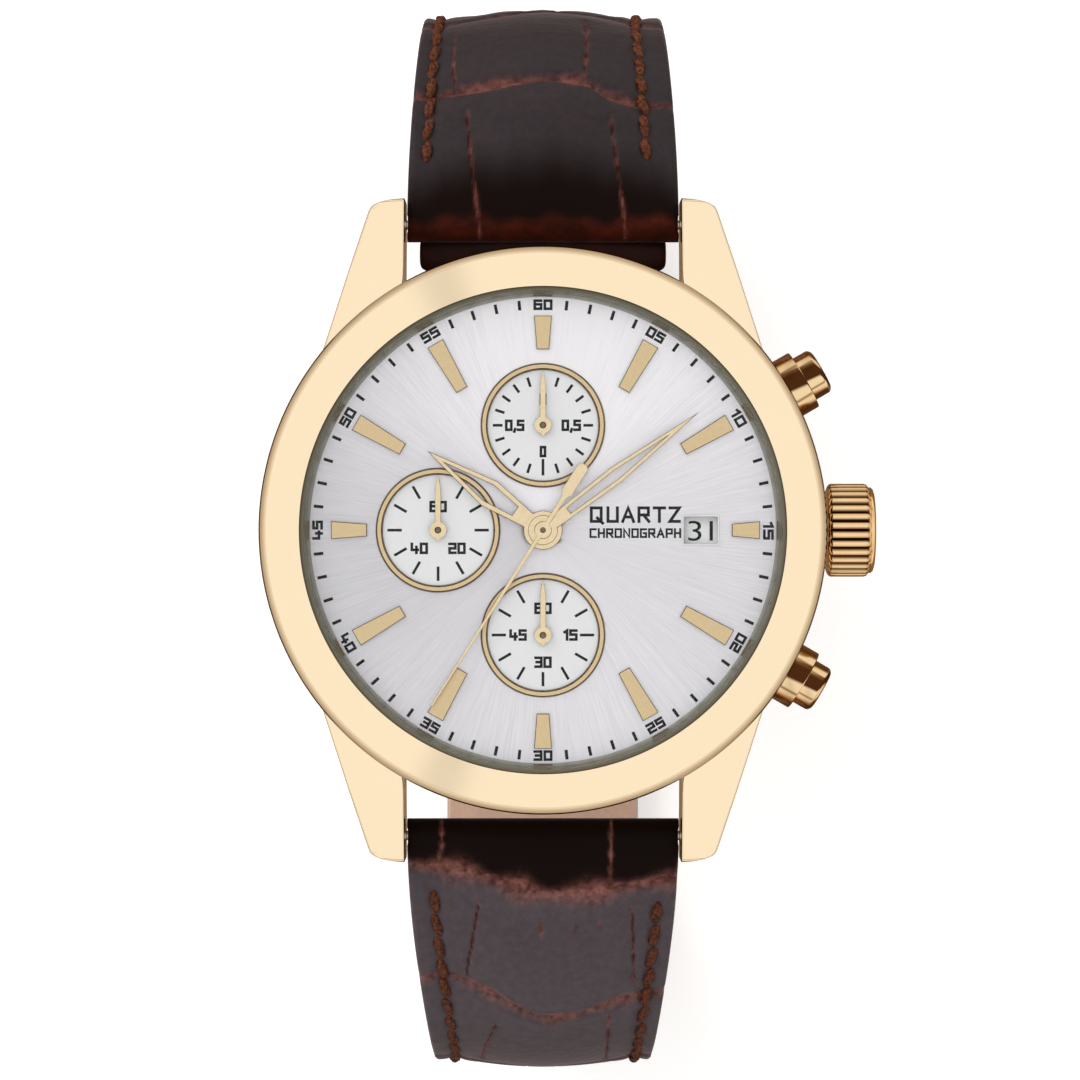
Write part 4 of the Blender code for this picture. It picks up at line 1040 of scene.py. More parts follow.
def counters():
    for hour, centre in COUNTERS.items():
        low, high = box_of(f"subdial_ring_{hour}")
        bevel = 0.12
        profile = [
            (COUNTER_INNER + bevel, high.z), (COUNTER_OUTER - bevel, high.z),
            (COUNTER_OUTER, low.z), (COUNTER_INNER, low.z),
        ]
        rim = moved(turned(softened(profile, 0.06), 128), at(*centre))
        piece(
            f"counter_ring_{hour}", rim, SATIN, "case", [f"subdial_ring_{hour}"], crease_angle=25.0,
            sides=EDGE,
        )
        floor = ring(0.4, COUNTER_INNER + 0.2, COUNTER_FLOOR - 0.1, COUNTER_FLOOR)
        look = counter_white(centre)
        piece(
            f"counter_floor_{hour}", moved(turned(floor, 96), at(*centre)), look, "case",
        )


def dial_print():
    """Minute track, numerals, the counters' scales and two generic words."""
    face = at(0.0, 0.0, DIAL_TOP)
    marks = [tick(6 * i, 16.5, 16.98, 0.23, face) for i in range(60) if i % 5]
    for minute in range(5, 65, 5):
        upright = 0.0 if minute <= 15 or minute >= 45 else 180.0
        spot = face @ spun(6 * minute) @ at(0.0, 16.72) @ spun(upright)
        marks += lettering(f"{minute:02d}", 0.80, 1.42, 0.2, spot)
    marks += lettering("QUARTZ", 1.22, 6.75, 0.22, at(6.85, 1.15, DIAL_TOP))
    marks += lettering("CHRONOGRAPH", 0.72, 6.8, 0.15, at(6.85, -0.22, DIAL_TOP))
    piece("dial_print", joined(marks), INK, "case", weighted=False)

    scales = {"12": (20, 3.1, 3.62), "9": (12, 2.8, 3.66), "6": (12, 2.85, 3.7)}
    numerals = {
        "12": [
            ("0", 0.5, 0.0, 1.95), ("0,5", 1.45, 2.1, 0.0), ("0", 0.5, 0.0, -1.95),
            ("0,5", 1.45, -2.1, 0.0),
        ],
        "9": [("60", 1.3, 0.0, 1.75), ("20", 1.3, 1.4, -1.35), ("40", 1.3, -1.4, -1.35)],
        "6": [
            ("60", 1.3, 0.0, 1.98), ("15", 1.15, 2.0, 0.0), ("30", 1.3, 0.0, -2.02),
            ("45", 1.3, -1.85, 0.0),
        ],
    }
    for hour, centre in COUNTERS.items():
        count, inner, outer = scales[hour]
        here = at(*centre, COUNTER_FLOOR)
        marks = []
        for i in range(count):
            longer = 0.5 if hour == "12" and i % (count // 2) == 0 else 0.0
            marks.append(tick(360 / count * i, inner - longer, outer, 0.2, here))
        for text, width, x, y in numerals[hour]:
            marks += lettering(text, 0.86, width, 0.2, here @ at(x, y))
        piece(f"counter_print_{hour}", joined(marks), INK, "case", weighted=False)


def date_ring():
    """The date disc with its thirty-one numbers, each readable in the window at three o'clock."""
    low, high = box_of("date_disc")
    teeth = []
    for i in range(31):
        for radius, share in ((10.3, 0.0), (10.42, 0.35), (10.42, 0.65)):
            angle = 2 * math.pi * (i + share) / 31
            teeth.append((radius * math.cos(angle), radius * math.sin(angle)))
    disc = plate([circle(14.6, 160), teeth], low.z, high.z, 0.02)
    piece("date_ring", disc, DATE_WHITE, "date", ["date_disc"])
    meshes = []
    for day in range(1, 32):
        text = bpy.data.curves.new("day", "FONT")
        text.body = str(day)
        text.size = 2.15
        text.space_character = 0.86
        text.offset = -0.012
        text.extrude = PRINT_THICK
        text.align_x = "CENTER"
        text.align_y = "CENTER"
        holder = bpy.data.objects.new("day", text)
        bpy.context.scene.collection.objects.link(holder)
        mesh = evaluated(holder)
        bpy.data.objects.remove(holder)
        turn = spun(-360.0 * day / 31)
        wider = Matrix.Diagonal((1.3, 1.0, 1.0, 1.0))
        meshes.append(moved(mesh, turn @ at(DATE_X + 0.2, -0.14, high.z + PRINT_THICK) @ wider))
    piece("date_numbers", joined(meshes), INK, "date", weighted=False)


# ---------------------------------------------------------------- hands

HAND_ANGLES = {"hour": 304.4, "minute": 52.9, "second": 212.4}


def arc(radius, start, end, count, centre=(0.0, 0.0)):
    steps = [math.radians(start + (end - start) * i / (count - 1)) for i in range(count)]
    return [(centre[0] + radius * math.cos(a), centre[1] + radius * math.sin(a)) for a in steps]


def blade_outline(hub, half_widths, tail=()):
    """A hand: a round hub, a blade of (distance, half width) points to its tip, and an optional tail."""
    right = [(w, d) for d, w in half_widths]
    left = [(-w, d) for d, w in reversed(half_widths) if w > 0.0]
    start = math.degrees(math.asin(half_widths[0][1] / hub))
    if not tail:
        return right + left + arc(hub, 90 + start + 6, 450 - start - 6, 48)
    turn = math.degrees(math.asin(tail[0][1] / hub))
    hub_left = arc(hub, 90 + start + 10, 270 - turn - 10, 16)
    hub_right = arc(hub, 270 + turn + 10, 450 - start - 10, 16)
    tail_left = [(-w, -d) for d, w in tail]
    tail_right = [(w, -d) for d, w in reversed(tail) if w > 0.0]
    return right + left + hub_left + tail_left + tail_right + hub_right


def hand(node, angle, hub, blade, bore, body, bevel, window=None, tail=(), centre=(0.0, 0.0)):
    low, high = box_of(node)
    outlines = [blade_outline(hub, blade, tail), circle(bore, 40)]
    if window:
        cut_out = [(w, d) for d, w in window]
        outlines.append(cut_out + [(-x, y) for x, y in reversed(cut_out) if x > 0.0])
    mesh = moved(plate(outlines, low.z, high.z, bevel), at(*centre) @ spun(angle))
    piece(f"{node}_blade", mesh, HAND, body, [node], crease_angle=25.0, sides=EDGE)


def hands():
    hand(
        "hour_hand", HAND_ANGLES["hour"], 1.44, [(1.3, 0.6), (4.8, 1.07), (10.4, 0.0)], 0.81, "hours", 0.075,
        window=[(2.5, 0.39), (4.9, 0.69), (8.8, 0.0)],
    )
    hand(
        "minute_hand", HAND_ANGLES["minute"], 1.1, [
            (0.95, 0.5), (6.75, 0.665), (14.5, 0.0),
        ], 0.48, "minutes", 0.07,
        window=[(2.37, 0.24), (6.8, 0.345), (11.4, 0.0)],
    )
    hand(
        "second_hand", HAND_ANGLES["second"], 0.62, [(0.6, 0.15), (15.4, 0.07)], 0.19, "seconds", 0.03,
        tail=[(0.6, 0.16), (2.9, 0.18), (3.3, 0.42), (5.4, 0.42), (5.62, 0.34), (5.75, 0.2)],
    )
    turning = {"12": "chrono_fractions", "9": "chrono_minutes", "6": "chrono_seconds"}
    for hour, centre in COUNTERS.items():
        hand(
            f"subdial_hand_{hour}", 0.0, 0.64, [
                (0.6, 0.2), (3.0, 0.2), (4.0, 0.04),
            ], 0.24, turning[hour], 0.025,
            tail=[(0.6, 0.2), (0.82, 0.05)], centre=centre,
        )
        pin = turned(softened(rod(0.2, 42.9, 43.12), 0.05, False), 32)
        piece(f"counter_pin_{hour}", moved(pin, at(*centre)), DARK_PIN, turning[hour])
    top = box_of("seconds_wheel")[1].z
    piece(
        "centre_pin", turned(softened(rod(0.2, top - 0.2, top + 0.03), 0.06, False), 32), DARK_PIN,
        "seconds",
    )


# ---------------------------------------------------------------- strap

STRAP_THICK, LINING_THICK = 2.3, 0.7
PAD_CROWN, PAD_LENGTH = 1.6, 42.0
LUG_END_RADIUS, BUCKLE_END_RADIUS = 1.3, 1.5
BUCKLE_BAR = (sum(box_of("buckle_spring_bar"), Vector()) / 2).yz
KEEPER_SEAT = Vector((22.0, 8.0))
SIDE_Z = 21.5
STRAP_SIZES = {
    "12": {"side": 1, "reach": 39.4, "side_width": 9.4, "stitch": (1.35, 2.35), "start": (4.5, 4.7)},
    "6": {"side": -1, "reach": 40.7, "side_width": 8.6, "stitch": (1.9, 1.4), "start": (3.9, 4.8)},
}
HALF_WIDTH_LUG, HALF_WIDTH_TAIL = 10.22, 8.0
HOLE_PITCH, HOLE_COUNT = 6.0, 7
ROW_STEP = 0.33
COLUMNS = 125

# Creases of the embossed pattern as (width, depth, points of (across, along)), drawn near the lugs.
CREASES = {
    "12": [
        (0.42, 0.30, [(-10.2, 10.4), (-6.3, 10.5), (0.0, 10.95), (3.0, 10.9), (5.5, 9.8), (10.2, 9.4)]),
        (0.14, 0.22, [(-5.75, 8.6), (-5.45, 5.0), (-4.85, 0.0), (-4.7, -1.4)]),
        (0.14, 0.22, [(5.1, 7.9), (5.5, 4.5), (6.1, 0.2), (6.2, -1.4)]),
        (0.17, 0.24, [(3.3, 18.6), (3.35, 15.0), (3.15, 11.6)]),
        (0.11, 0.16, [(-6.75, 16.6), (-6.85, 13.5), (-6.65, 11.0)]),
        (0.36, 0.28, [(-9.8, 19.6), (-5.0, 20.0), (0.0, 20.9), (4.0, 20.6), (9.7, 19.3)]),
    ],
    "6": [
        (0.80, 0.32, [(-10.4, 1.95), (-6.2, 2.3), (-2.6, 3.2), (0.5, 3.75), (5.0, 3.7), (10.4, 3.1)]),
        (0.18, 0.24, [(-7.64, -1.5), (-7.6, 0.4), (-7.9, 1.6)]),
        (0.16, 0.24, [(5.1, -1.6), (5.1, 1.0), (5.0, 3.0)]),
        (0.12, 0.24, [(-4.8, 4.5), (-5.3, 7.6), (-5.8, 10.8)]),
        (0.11, 0.20, [(6.7, 5.0), (6.8, 8.0), (6.95, 11.9)]),
        (0.50, 0.30, [(-9.6, 11.5), (-5.8, 11.5), (-0.8, 14.2), (1.6, 14.45), (5.8, 13.5), (9.6, 12.9)]),
        (0.14, 0.20, [(-3.5, 15.3), (-4.4, 18.8), (-4.7, 21.5)]),
        (0.14, 0.20, [(5.05, 14.6), (5.0, 18.0), (4.9, 22.0)]),
        (0.36, 0.28, [(-9.2, 22.2), (-4.0, 22.9), (0.0, 23.4), (4.5, 22.8), (9.2, 22.0)]),
        (0.20, 0.14, [(-0.1, 5.9), (-0.15, 6.9)]),
        (0.14, 0.12, [(2.5, 6.2), (2.35, 6.8)]),
        (0.14, 0.12, [(4.4, 5.8), (4.35, 6.3)]),
    ],
}


def smooth(x):
    x = np.clip(x, 0.0, 1.0)
    return x * x * (3.0 - 2.0 * x)


def bezier(points, count):
    t = np.linspace(0.0, 1.0, count)[:, None]
    a, b, c, d = (np.array(p, float) for p in points)
    return a * (1 - t) ** 3 + b * 3 * (1 - t) ** 2 * t + c * 3 * (1 - t) * t**2 + d * t**3


def wandering(points, count=60):
    """Points along a smooth line through a few given ones."""
    places = np.array(points, float)
    spots = [places[0] * 2 - places[1], *places, places[-1] * 2 - places[-2]]
    found = []
    for k in range(len(places) - 1):
        a, b, c, d = spots[k : k + 4]
        for t in np.linspace(0.0, 1.0, max(count // (len(places) - 1), 4), endpoint=False):
            found.append(
                0.5 * (
                    2 * b + (c - a) * t + (2 * a - 5 * b + 4 * c - d) * t**2 + (3 * b - a - 3 * c + d) * t**3
                )
            )
    return np.array(found + [places[-1]])


class Strap:
    """One half of the strap: its line in the plane of y and z, its widths, and its outer surface."""

    def __init__(self, hour):
        self.hour = hour
        for key, value in STRAP_SIZES[hour].items():
            setattr(self, key, value)
        self.buckled = hour == "12"
        bar = Vector((BAR_12.y, BAR_12.z))
        floor = STRAP_THICK / 2
        foot = KEEPER_SEAT if self.buckled else Vector((24.0, floor))
        along = (BUCKLE_BAR - KEEPER_SEAT).normalized() if self.buckled else Vector((-1.0, 0.0))
        handle = foot - along * (9.0 if self.buckled else 10.0)
        over = [bar, bar + Vector((8.0, -1.5)), (self.reach, SIDE_Z + 9.0), (self.reach, SIDE_Z)]
        under = [(self.reach, SIDE_Z), (self.reach, SIDE_Z - 9.0), handle, foot]
        line = [bezier(over, 120), bezier(under, 120)[1:]]
        if self.buckled:
            end = BUCKLE_BAR + along * BUCKLE_END_RADIUS
            line.append(np.linspace(foot, end, 60)[1:])
        else:
            line.append(np.linspace(foot, (-24.0, floor), 120)[1:])
            turn = np.linspace(0.0, 1.0 / 3.0, 30)[1:]
            line.append(np.column_stack((-24.0 - 30.0 * np.sin(turn), floor + 30.0 * (1.0 - np.cos(turn)))))
        points = np.vstack(line)
        start = (points[1] - points[0]) / np.linalg.norm(points[1] - points[0])
        nose = points[0] + start * np.linspace(-5.0, -0.1, 40)[:, None]
        self.points = np.vstack([nose, points])
        steps = np.linalg.norm(np.diff(self.points, axis=0), axis=1)
        self.s = np.concatenate([[0.0], np.cumsum(steps)]) - 5.0
        slope = np.gradient(self.points, self.s, axis=0)
        self.slope = slope / np.linalg.norm(slope, axis=1)[:, None]
        self.length = self.s[-1]
        self.bar_s = self.length - BUCKLE_END_RADIUS

    def spot(self, x, s, height):
        """Points of the strap, from how far they lie across it, along it and out from its middle."""
        y, z = (np.interp(s, self.s, self.points[:, k]) for k in (0, 1))
        dy, dz = (np.interp(s, self.s, self.slope[:, k]) for k in (0, 1))
        return np.stack([x + 0.0 * y, self.side * (y - dz * height), z + dy * height], axis=-1)

    def half_width(self, s):
        near = HALF_WIDTH_LUG + (self.side_width - HALF_WIDTH_LUG) * smooth(s / 24.0)
        far = self.side_width + (HALF_WIDTH_TAIL - self.side_width) * smooth((s - 24.0) / 24.0)
        width = np.where(s < 24.0, near, far)
        if not self.buckled:
            into = np.clip((s - self.length + 7.0) / 7.0, 0.0, 1.0)
            width = width * np.sqrt(np.clip(1.0 - into**2, 0.0008, 1.0))
        return width

    def body(self, s):
        """How far the leather stands out from the strap's middle line, before the padding."""
        half = STRAP_THICK / 2
        nose = np.sqrt(np.clip(LUG_END_RADIUS**2 - np.minimum(s, 0.0) ** 2, 0.0, None))
        out = np.where(s < 3.0, nose + (half - nose) * smooth(s / 3.0), half)
        if self.buckled:
            tail = np.sqrt(
                np.clip(BUCKLE_END_RADIUS**2 - (np.maximum(s, self.bar_s) - self.bar_s) ** 2, 0.0, None)
            )
            blend = smooth((s - self.bar_s + 3.0) / 1.5)
            out = out + (tail - out) * blend
        return out

    def surface(self, x, s):
        """The outer surface's height, with the padding and the turned edges."""
        width = self.half_width(s)
        body = self.body(s)
        crown = PAD_CROWN * smooth((s + LUG_END_RADIUS) / 6.0) * (1.0 - smooth(s / PAD_LENGTH))
        dome = 1.0 - np.clip(np.abs(x) / (width - 1.7), 0.0, 1.0) ** 2
        dome = dome * (0.55 + 0.45 * dome)
        edge = 0.45
        u = np.clip((np.abs(x) - width + edge) / edge, 0.0, 1.0)
        drop = 0.5 * np.minimum(body, 1.15) * (1.0 - np.sqrt(1.0 - u**2))
        return body + crown * dome - drop

    def stitch_x(self, side, s):
        inset = self.stitch[0 if side < 0 else 1]
        inset = inset + (1.4 - inset) * smooth((s - 18.0) / 14.0)
        return side * (np.interp(s, self.s, self.half_width(self.s)) - inset)

    def all_creases(self):
        """The drawn creases near the lug, and regular rows of scales beyond them."""
        found = list(CREASES[self.hour])
        row = max(point[1] for crease in found for point in crease[2])
        k = 0
        while row < self.length - 12.0:
            pitch = 6.6 + 0.9 * math.sin(2.1 * k)
            lean = 0.5 * math.sin(1.7 * k + 1.0)
            end = row + pitch
            for j, x in enumerate((-5.6, -1.9, 1.9, 5.6)):
                x = x * 0.9 + 0.55 * math.sin(3.1 * k + 2.3 * j)
                found.append(
                    (0.17, 0.18, [(x, row + 0.7), (x + 0.3 * lean, row + pitch / 2), (x + lean, end - 0.6)])
                )
            bow = 0.9 * math.sin(0.8 * k + 0.5)
            found.append(
                (
                    0.26, 0.22,
                    [
                        (-9.5, end - 0.5), (-4.0, end + lean), (0.0, end + bow), (4.0, end - lean),
                        (9.5, end - 0.3),
                    ],
                )
            )
            row = end
            k += 1
        return found

    def relief(self, x, s):
        """The embossing's depth and the share of crease colour at each point."""
        depth, colour = np.zeros_like(x), np.zeros_like(x)
        flat = 0.12 + 0.88 * smooth((s - 0.6) / 2.6)
        for width, deep, points in self.all_creases():
            line = wandering(points)
            low, high = line.min(axis=0) - 3.0, line.max(axis=0) + 3.0
            near = (x > low[0]) & (x < high[0]) & (s > low[1]) & (s < high[1])
            if not near.any():
                continue
            spots = np.column_stack([x[near], s[near]])
            nearest = np.full(len(spots), 9.0)
            where = np.zeros(len(spots))
            for k, (a, b) in enumerate(zip(line, line[1:])):
                run = b - a
                t = np.clip(((spots - a) @ run) / (run @ run), 0.0, 1.0)
                gap = np.linalg.norm(spots - a - t[:, None] * run, axis=1)
                where = np.where(gap < nearest, (k + t) / len(line), where)
                nearest = np.minimum(nearest, gap)
            wide = width * (0.72 + 0.28 * np.sin(where * 23.0 + deep * 90.0))
            ends = smooth(where * 9.0 + 0.35) * smooth((1.0 - where) * 9.0 + 0.35)
            cut = np.exp(-((nearest / wide) ** 2)) * ends
            pillow = np.exp(-nearest / 1.1) * ends
            depth[near] = np.maximum(depth[near], 1.5 * deep * cut + 0.17 * pillow)
            colour[near] = np.maximum(colour[near], cut)
        return depth * flat, colour

    def channel(self, x, s):
        """How far the two rows of stitching pull the leather in."""
        pulled = np.zeros_like(x)
        for side, start in zip((-1, 1), self.start):
            gap = x - self.stitch_x(side, s)
            along = smooth((s - start + 0.9) / 1.2)
            pulled = np.maximum(pulled, np.exp(-((gap / 0.62) ** 2)) * along)
        return 0.2 * pulled


def stations(strap):
    nose = -LUG_END_RADIUS * np.cos(np.radians(np.linspace(4.0, 88.0, 12)))
    last = strap.bar_s if strap.buckled else strap.length - 7.0
    body = np.arange(0.0, last, ROW_STEP)
    if strap.buckled:
        tail = last + BUCKLE_END_RADIUS * np.sin(np.radians(np.linspace(0.0, 86.0, 12)))
    else:
        tail = last + 7.0 * np.sin(np.radians(np.linspace(0.0, 87.0, 34)))
    return np.concatenate([nose, body, tail])


def lofted(rings):
    """A closed mesh through rings of points, each (count, 3), with its two ends filled."""
    rows, count = len(rings), rings[0].shape[0]
    verts = np.vstack(rings)
    index = np.arange(rows * count).reshape(rows, count)
    a, b = index[:-1], index[1:]
    quads = np.stack([a, np.roll(a, -1, 1), np.roll(b, -1, 1), b], axis=-1).reshape(-1, 4)
    faces = quads.tolist() + [index[0][::-1].tolist(), index[-1].tolist()]
    mesh = bpy.data.meshes.new("loft")
    mesh.from_pydata(verts.tolist(), [], faces)
    shape = bmesh.new()
    shape.from_mesh(mesh)
    bmesh.ops.recalc_face_normals(shape, faces=shape.faces)
    shape.to_mesh(mesh)
    shape.free()
    return mesh


def add_value(mesh, name, numbers):
    """A number kept at every point of a mesh, for its material to read."""
    attribute = mesh.attributes.new(name, "FLOAT", "POINT")
    attribute.data.foreach_set("value", np.zeros(len(mesh.vertices), np.float32) + numbers)


def strap_leather(strap):
    """The padded outer leather, rolled round the spring bar, with its creases and sewn channels."""
    share = np.linspace(-1.0, 1.0, COLUMNS)
    share = 0.75 * share + 0.25 * np.sin(share * math.pi / 2)
    rows = stations(strap)[:, None]
    width, body = strap.half_width(rows), strap.body(rows)
    x, s = share * width, rows + 0.0 * share
    seam = LINING_THICK - STRAP_THICK / 2 + 0.05
    joint = smooth((rows - 2.0) / 1.2)
    if strap.buckled:
        joint = joint * (1.0 - smooth((rows - strap.bar_s + 2.6) / 0.9))
    base = -body + (seam + body) * joint
    depth, colour = strap.relief(x, s)
    top = strap.surface(x, s)
    under = np.array([1.0, 1.0, 0.985, 0.5, 0.0, -0.5, -0.985, -1.0, -1.0]) * width
    lift = np.array([0.55, 0.2, 0.0, 0.0, 0.0, 0.0, 0.0, 0.2, 0.55])
    low = base + (top[:, :1] - base) * lift
    outer = strap.spot(x, s, top - depth - strap.channel(x, s))
    rings = np.concatenate([outer, strap.spot(under, rows + 0.0 * under, low)], axis=1)
    wave = 0.5 * np.sin(x * 0.9 + 0.6) + 0.35 * np.sin(x * 2.3)
    # bend_shade is painted shade: near black where the strap turns towards the case, and on its hidden
    # underside near the lug end
    if strap.buckled:
        burnish = smooth((0.55 + 0.5 * wave - s) / 1.0)
        bend_shade = smooth((6.6 + 0.4 * wave - 1.5 * np.abs(share) ** 3 - s) / 4.6)
    else:
        burnish = 0.0 * x
        bend_shade = smooth((np.interp(x, *np.array(CREASES["6"][0][2]).T) + 0.4 - s) / 0.8)
    mesh = lofted(list(rings))
    hidden = 0.0 * under
    inside = hidden + smooth((3.0 - rows) / 2.0)
    values = {"crease": (colour, hidden), "burnish": (burnish, hidden), "bend_shade": (bend_shade, inside)}
    for name, parts in values.items():
        add_value(mesh, name, np.concatenate(parts, axis=1).ravel())
    return mesh


def strap_lining(strap):
    """The lining glued inside the leather, with rounded edges."""
    rings = []
    seam, low = LINING_THICK - STRAP_THICK / 2, -STRAP_THICK / 2
    last = strap.bar_s - 2.7 if strap.buckled else strap.length - 0.01
    along = [s for s in stations(strap) if 3.0 < s < last]
    for s in along:
        width = float(strap.half_width(np.array([s]))[0]) - 0.06
        share = np.linspace(-1.0, 1.0, 15)
        edge = min(0.3, width / 2)
        corner = np.radians(np.linspace(0.0, 90.0, 5))
        xs = [-width, *(share * (width - edge)), width]
        hs = [seam] * len(xs)
        xs += list(width - edge * (1 - np.cos(corner))) + list(-(width - edge * (1 - np.cos(corner[::-1]))))
        hs += list(low + edge * (1 - np.sin(corner))) + list(low + edge * (1 - np.sin(corner[::-1])))
        xs = np.array(xs)
        rings.append(strap.spot(xs, np.full_like(xs, s), np.array(hs)))
    return lofted(rings)


def stitches(strap):
    """Two rows of thick waxed thread, each stitch a twisted bead that dips into the leather at both ends."""
    pitch, long, thick, rows, around = 1.90, 1.98, 0.37, 19, 24
    verts, faces = [], []
    last = strap.bar_s - 4.0 if strap.buckled else strap.length - 8.0
    for side, start in zip((-1, 1), strap.start):
        for n in range(int((last - start) / pitch)):
            t = np.linspace(0.0, 1.0, rows)
            s = start + n * pitch + long * t
            x = strap.stitch_x(side, s)
            lean = 0.05 * math.sin(1.9 * n + side) - 0.12 * side
            ground = strap.surface(x, s) - strap.channel(x, s)
            height = ground + 0.24 * np.sin(math.pi * t) - 0.14 - 0.3 * smooth((s - 26.0) / 12.0)
            centre = strap.spot(x + lean * (t - 0.5) * 2, s, height)
            up = strap.spot(x, s, height + 1.0) - strap.spot(x, s, height)
            girth = thick * np.power(np.clip(1.0 - np.abs(2 * t - 1) ** 2.8, 0.0, 1.0), 0.5) + 0.02
            base = len(verts)
            for k in range(rows):
                for j in range(around):
                    angle = 2 * math.pi * j / around
                    groove = (1.0 - abs(math.sin(1.5 * (angle - 3.2 * t[k] + 0.7 * n)))) ** 1.5
                    r = girth[k] * (1.0 - 0.36 * groove)
                    verts.append(
                        centre[k] + np.array([r * math.cos(angle), 0, 0])
                        + up[k] * (0.86 * r * math.sin(angle))
                    )
            for k in range(rows - 1):
                for j in range(around):
                    i = (j + 1) % around
                    low, high = base + k * around, base + (k + 1) * around
                    faces.append((low + j, low + i, high + i, high + j))
            faces.append(tuple(base + j for j in range(around)))
            faces.append(tuple(base + (rows - 1) * around + j for j in range(around)))
    mesh = bpy.data.meshes.new("stitches")
    mesh.from_pydata([tuple(v) for v in verts], [], faces)
    shape = bmesh.new()
    shape.from_mesh(mesh)
    bmesh.ops.recalc_face_normals(shape, faces=shape.faces)
    shape.to_mesh(mesh)
    shape.free()
    return mesh


def end_lip(strap):
    """The rolled welt under the strap's end, which follows the round of the case."""
    rings = []
    around = np.radians(np.linspace(0.0, 360.0, 29)[:-1])
    for share in np.linspace(-1.0, 1.0, 61):
        x = 9.3 * math.sin(share * math.pi / 2)
        wall = BAR_12.y - math.sqrt(CASE_RADIUS**2 - x**2)
        reach = min(wall - 0.35, 3.5)
        ends = math.sqrt(max(1.0 - abs(share) ** 6, 0.02))
        middle, half = -(0.4 + reach) / 2, (reach - 0.4) / 2
        s = middle + half * np.cos(around) * ends
        h = -0.95 + 0.72 * np.sin(around) * ends
        rings.append(strap.spot(np.full_like(s, x), s, h))
    mesh = lofted(rings)
    add_value(mesh, "burnish", 0.3)
    # painted shade: the rolled end under the strap is made near black
    add_value(mesh, "bend_shade", 0.9)
    return mesh


def drilled(mesh, meshes):
    for cutter in meshes:
        mesh = combined(mesh, cutter, "DIFFERENCE")
    return mesh


def strap_halves():
    bodies = {"12": "strap_12", "6": "strap_6"}
    for hour, body in bodies.items():
        strap = Strap(hour)
        outer, inner = strap_leather(strap), strap_lining(strap)
        loop = moved(turned(rod(0.95, -12.0, 12.0), 32), across(strap.side * BAR_12.y, BAR_12.z))
        if strap.buckled:
            bar = moved(turned(rod(0.75, -12.0, 12.0), 32), across(*BUCKLE_BAR))
            slot = plate([softened([(-1.15, -3.0), (1.15, -3.0), (1.15, 1.9), (-1.15, 1.9)], 0.3)], -4.0, 4.0)
            outer = drilled(outer, [loop, bar, moved(slot, buckle_frame_matrix())])
        else:
            first = -HOLE_PITCH * HOLE_COUNT / 2
            spots = [at(0.0, first + i * HOLE_PITCH) for i in range(HOLE_COUNT)]
            punch = [moved(turned(rod(0.8, -2.0, 5.0), 32), spot) for spot in spots]
            outer = drilled(outer, [loop, joined(punch)])
            punch = [moved(turned(rod(0.8, -2.0, 5.0), 32), spot) for spot in spots]
            inner = drilled(inner, [joined(punch)])
        piece(
            f"strap_{hour}_outer", outer, LEATHER if strap.buckled else LEATHER_6_PAINTED_LIGHT, body,
            [f"strap_{hour}_leather"], crease_angle=50.0, weighted=False,
        )
        piece(
            f"strap_{hour}_inner", inner, LINING, body, [f"strap_{hour}_lining"], crease_angle=50.0,
            weighted=False,
        )
        piece(
            f"strap_{hour}_stitches", stitches(strap), THREAD, body,
            crease_angle=80.0, weighted=False,
        )
        if strap.buckled:
            piece(
                "strap_12_welt", end_lip(strap), LEATHER, body, crease_angle=60.0,
                weighted=False,
            )


# ---------------------------------------------------------------- buckle and keepers


def buckle_frame_matrix():
    """The buckle's own frame: X along its bar, Y back along the strap, Z towards the wrist."""
    back = KEEPER_SEAT - BUCKLE_BAR
    tilt = math.atan2(back.y, back.x)
    return at(0.0, BUCKLE_BAR.x, BUCKLE_BAR.y) @ Matrix.Rotation(tilt, 4, "X")


def buckle():
    place = buckle_frame_matrix()
    bow = plate([buckle_outline(8.5, 10.2, 1.3, -6.4, -8.4)], -0.8, 0.8, 0.32)
    along_bar = place @ Matrix.Rotation(math.pi / 2, 4, "Y")
    bow = combined(moved(bow, place), moved(turned(rod(0.45, -9.7, 9.7), 32), along_bar), "DIFFERENCE")
    piece("buckle_bow", bow, GOLD, "buckle_body", ["buckle_frame"], crease_angle=25.0)
    half = [(0.0, 9.5), (0.32, 9.5), (0.32, 8.3), (0.6, 8.3), (0.6, 7.6), (0.5, 7.5), (0.5, 7.3), (0.6, 7.2)]
    profile = half + [(radius, -height) for radius, height in reversed(half)]
    bar = moved(turned(softened(profile, 0.05, False, 3), 40), along_bar)
    piece("buckle_bar", bar, STEEL, "strap_12", ["buckle_spring_bar"])
    eye = 1.5
    side_view = arc(eye, 225, -90, 30)
    side_view += softened(
        [(-7.9, -1.98), (-8.75, -1.98), (-9.0, -1.55), (-8.75, -1.18), (-7.9, -1.14)], 0.25, False,
    )
    side_view = [side_view[-1]] + side_view[:-1]
    pin = plate([side_view, circle(0.75, 40)], -0.85, 0.85, 0.16)
    sideways = Matrix.Rotation(math.pi / 2, 4, "Z") @ Matrix.Rotation(math.pi / 2, 4, "X")
    piece(
        "buckle_pin", moved(pin, place @ sideways), GOLD, "tongue_body", ["buckle_tongue"],
        crease_angle=25.0,
    )


def buckle_outline(inner, outer, back, front_in, front_out):
    corner = 2.0
    outline = [(outer, back)]
    outline += arc(corner, 0, -90, 12, (outer - corner, front_out + corner))
    outline += arc(corner, -90, -180, 12, (corner - outer, front_out + corner))
    outline += [(-outer, back), (-inner, back)]
    small = 0.5
    outline += arc(small, 180, 270, 6, (-inner + small, front_in + small))
    outline += arc(small, 270, 360, 6, (inner - small, front_in + small))
    outline += [(inner, back)]
    return outline


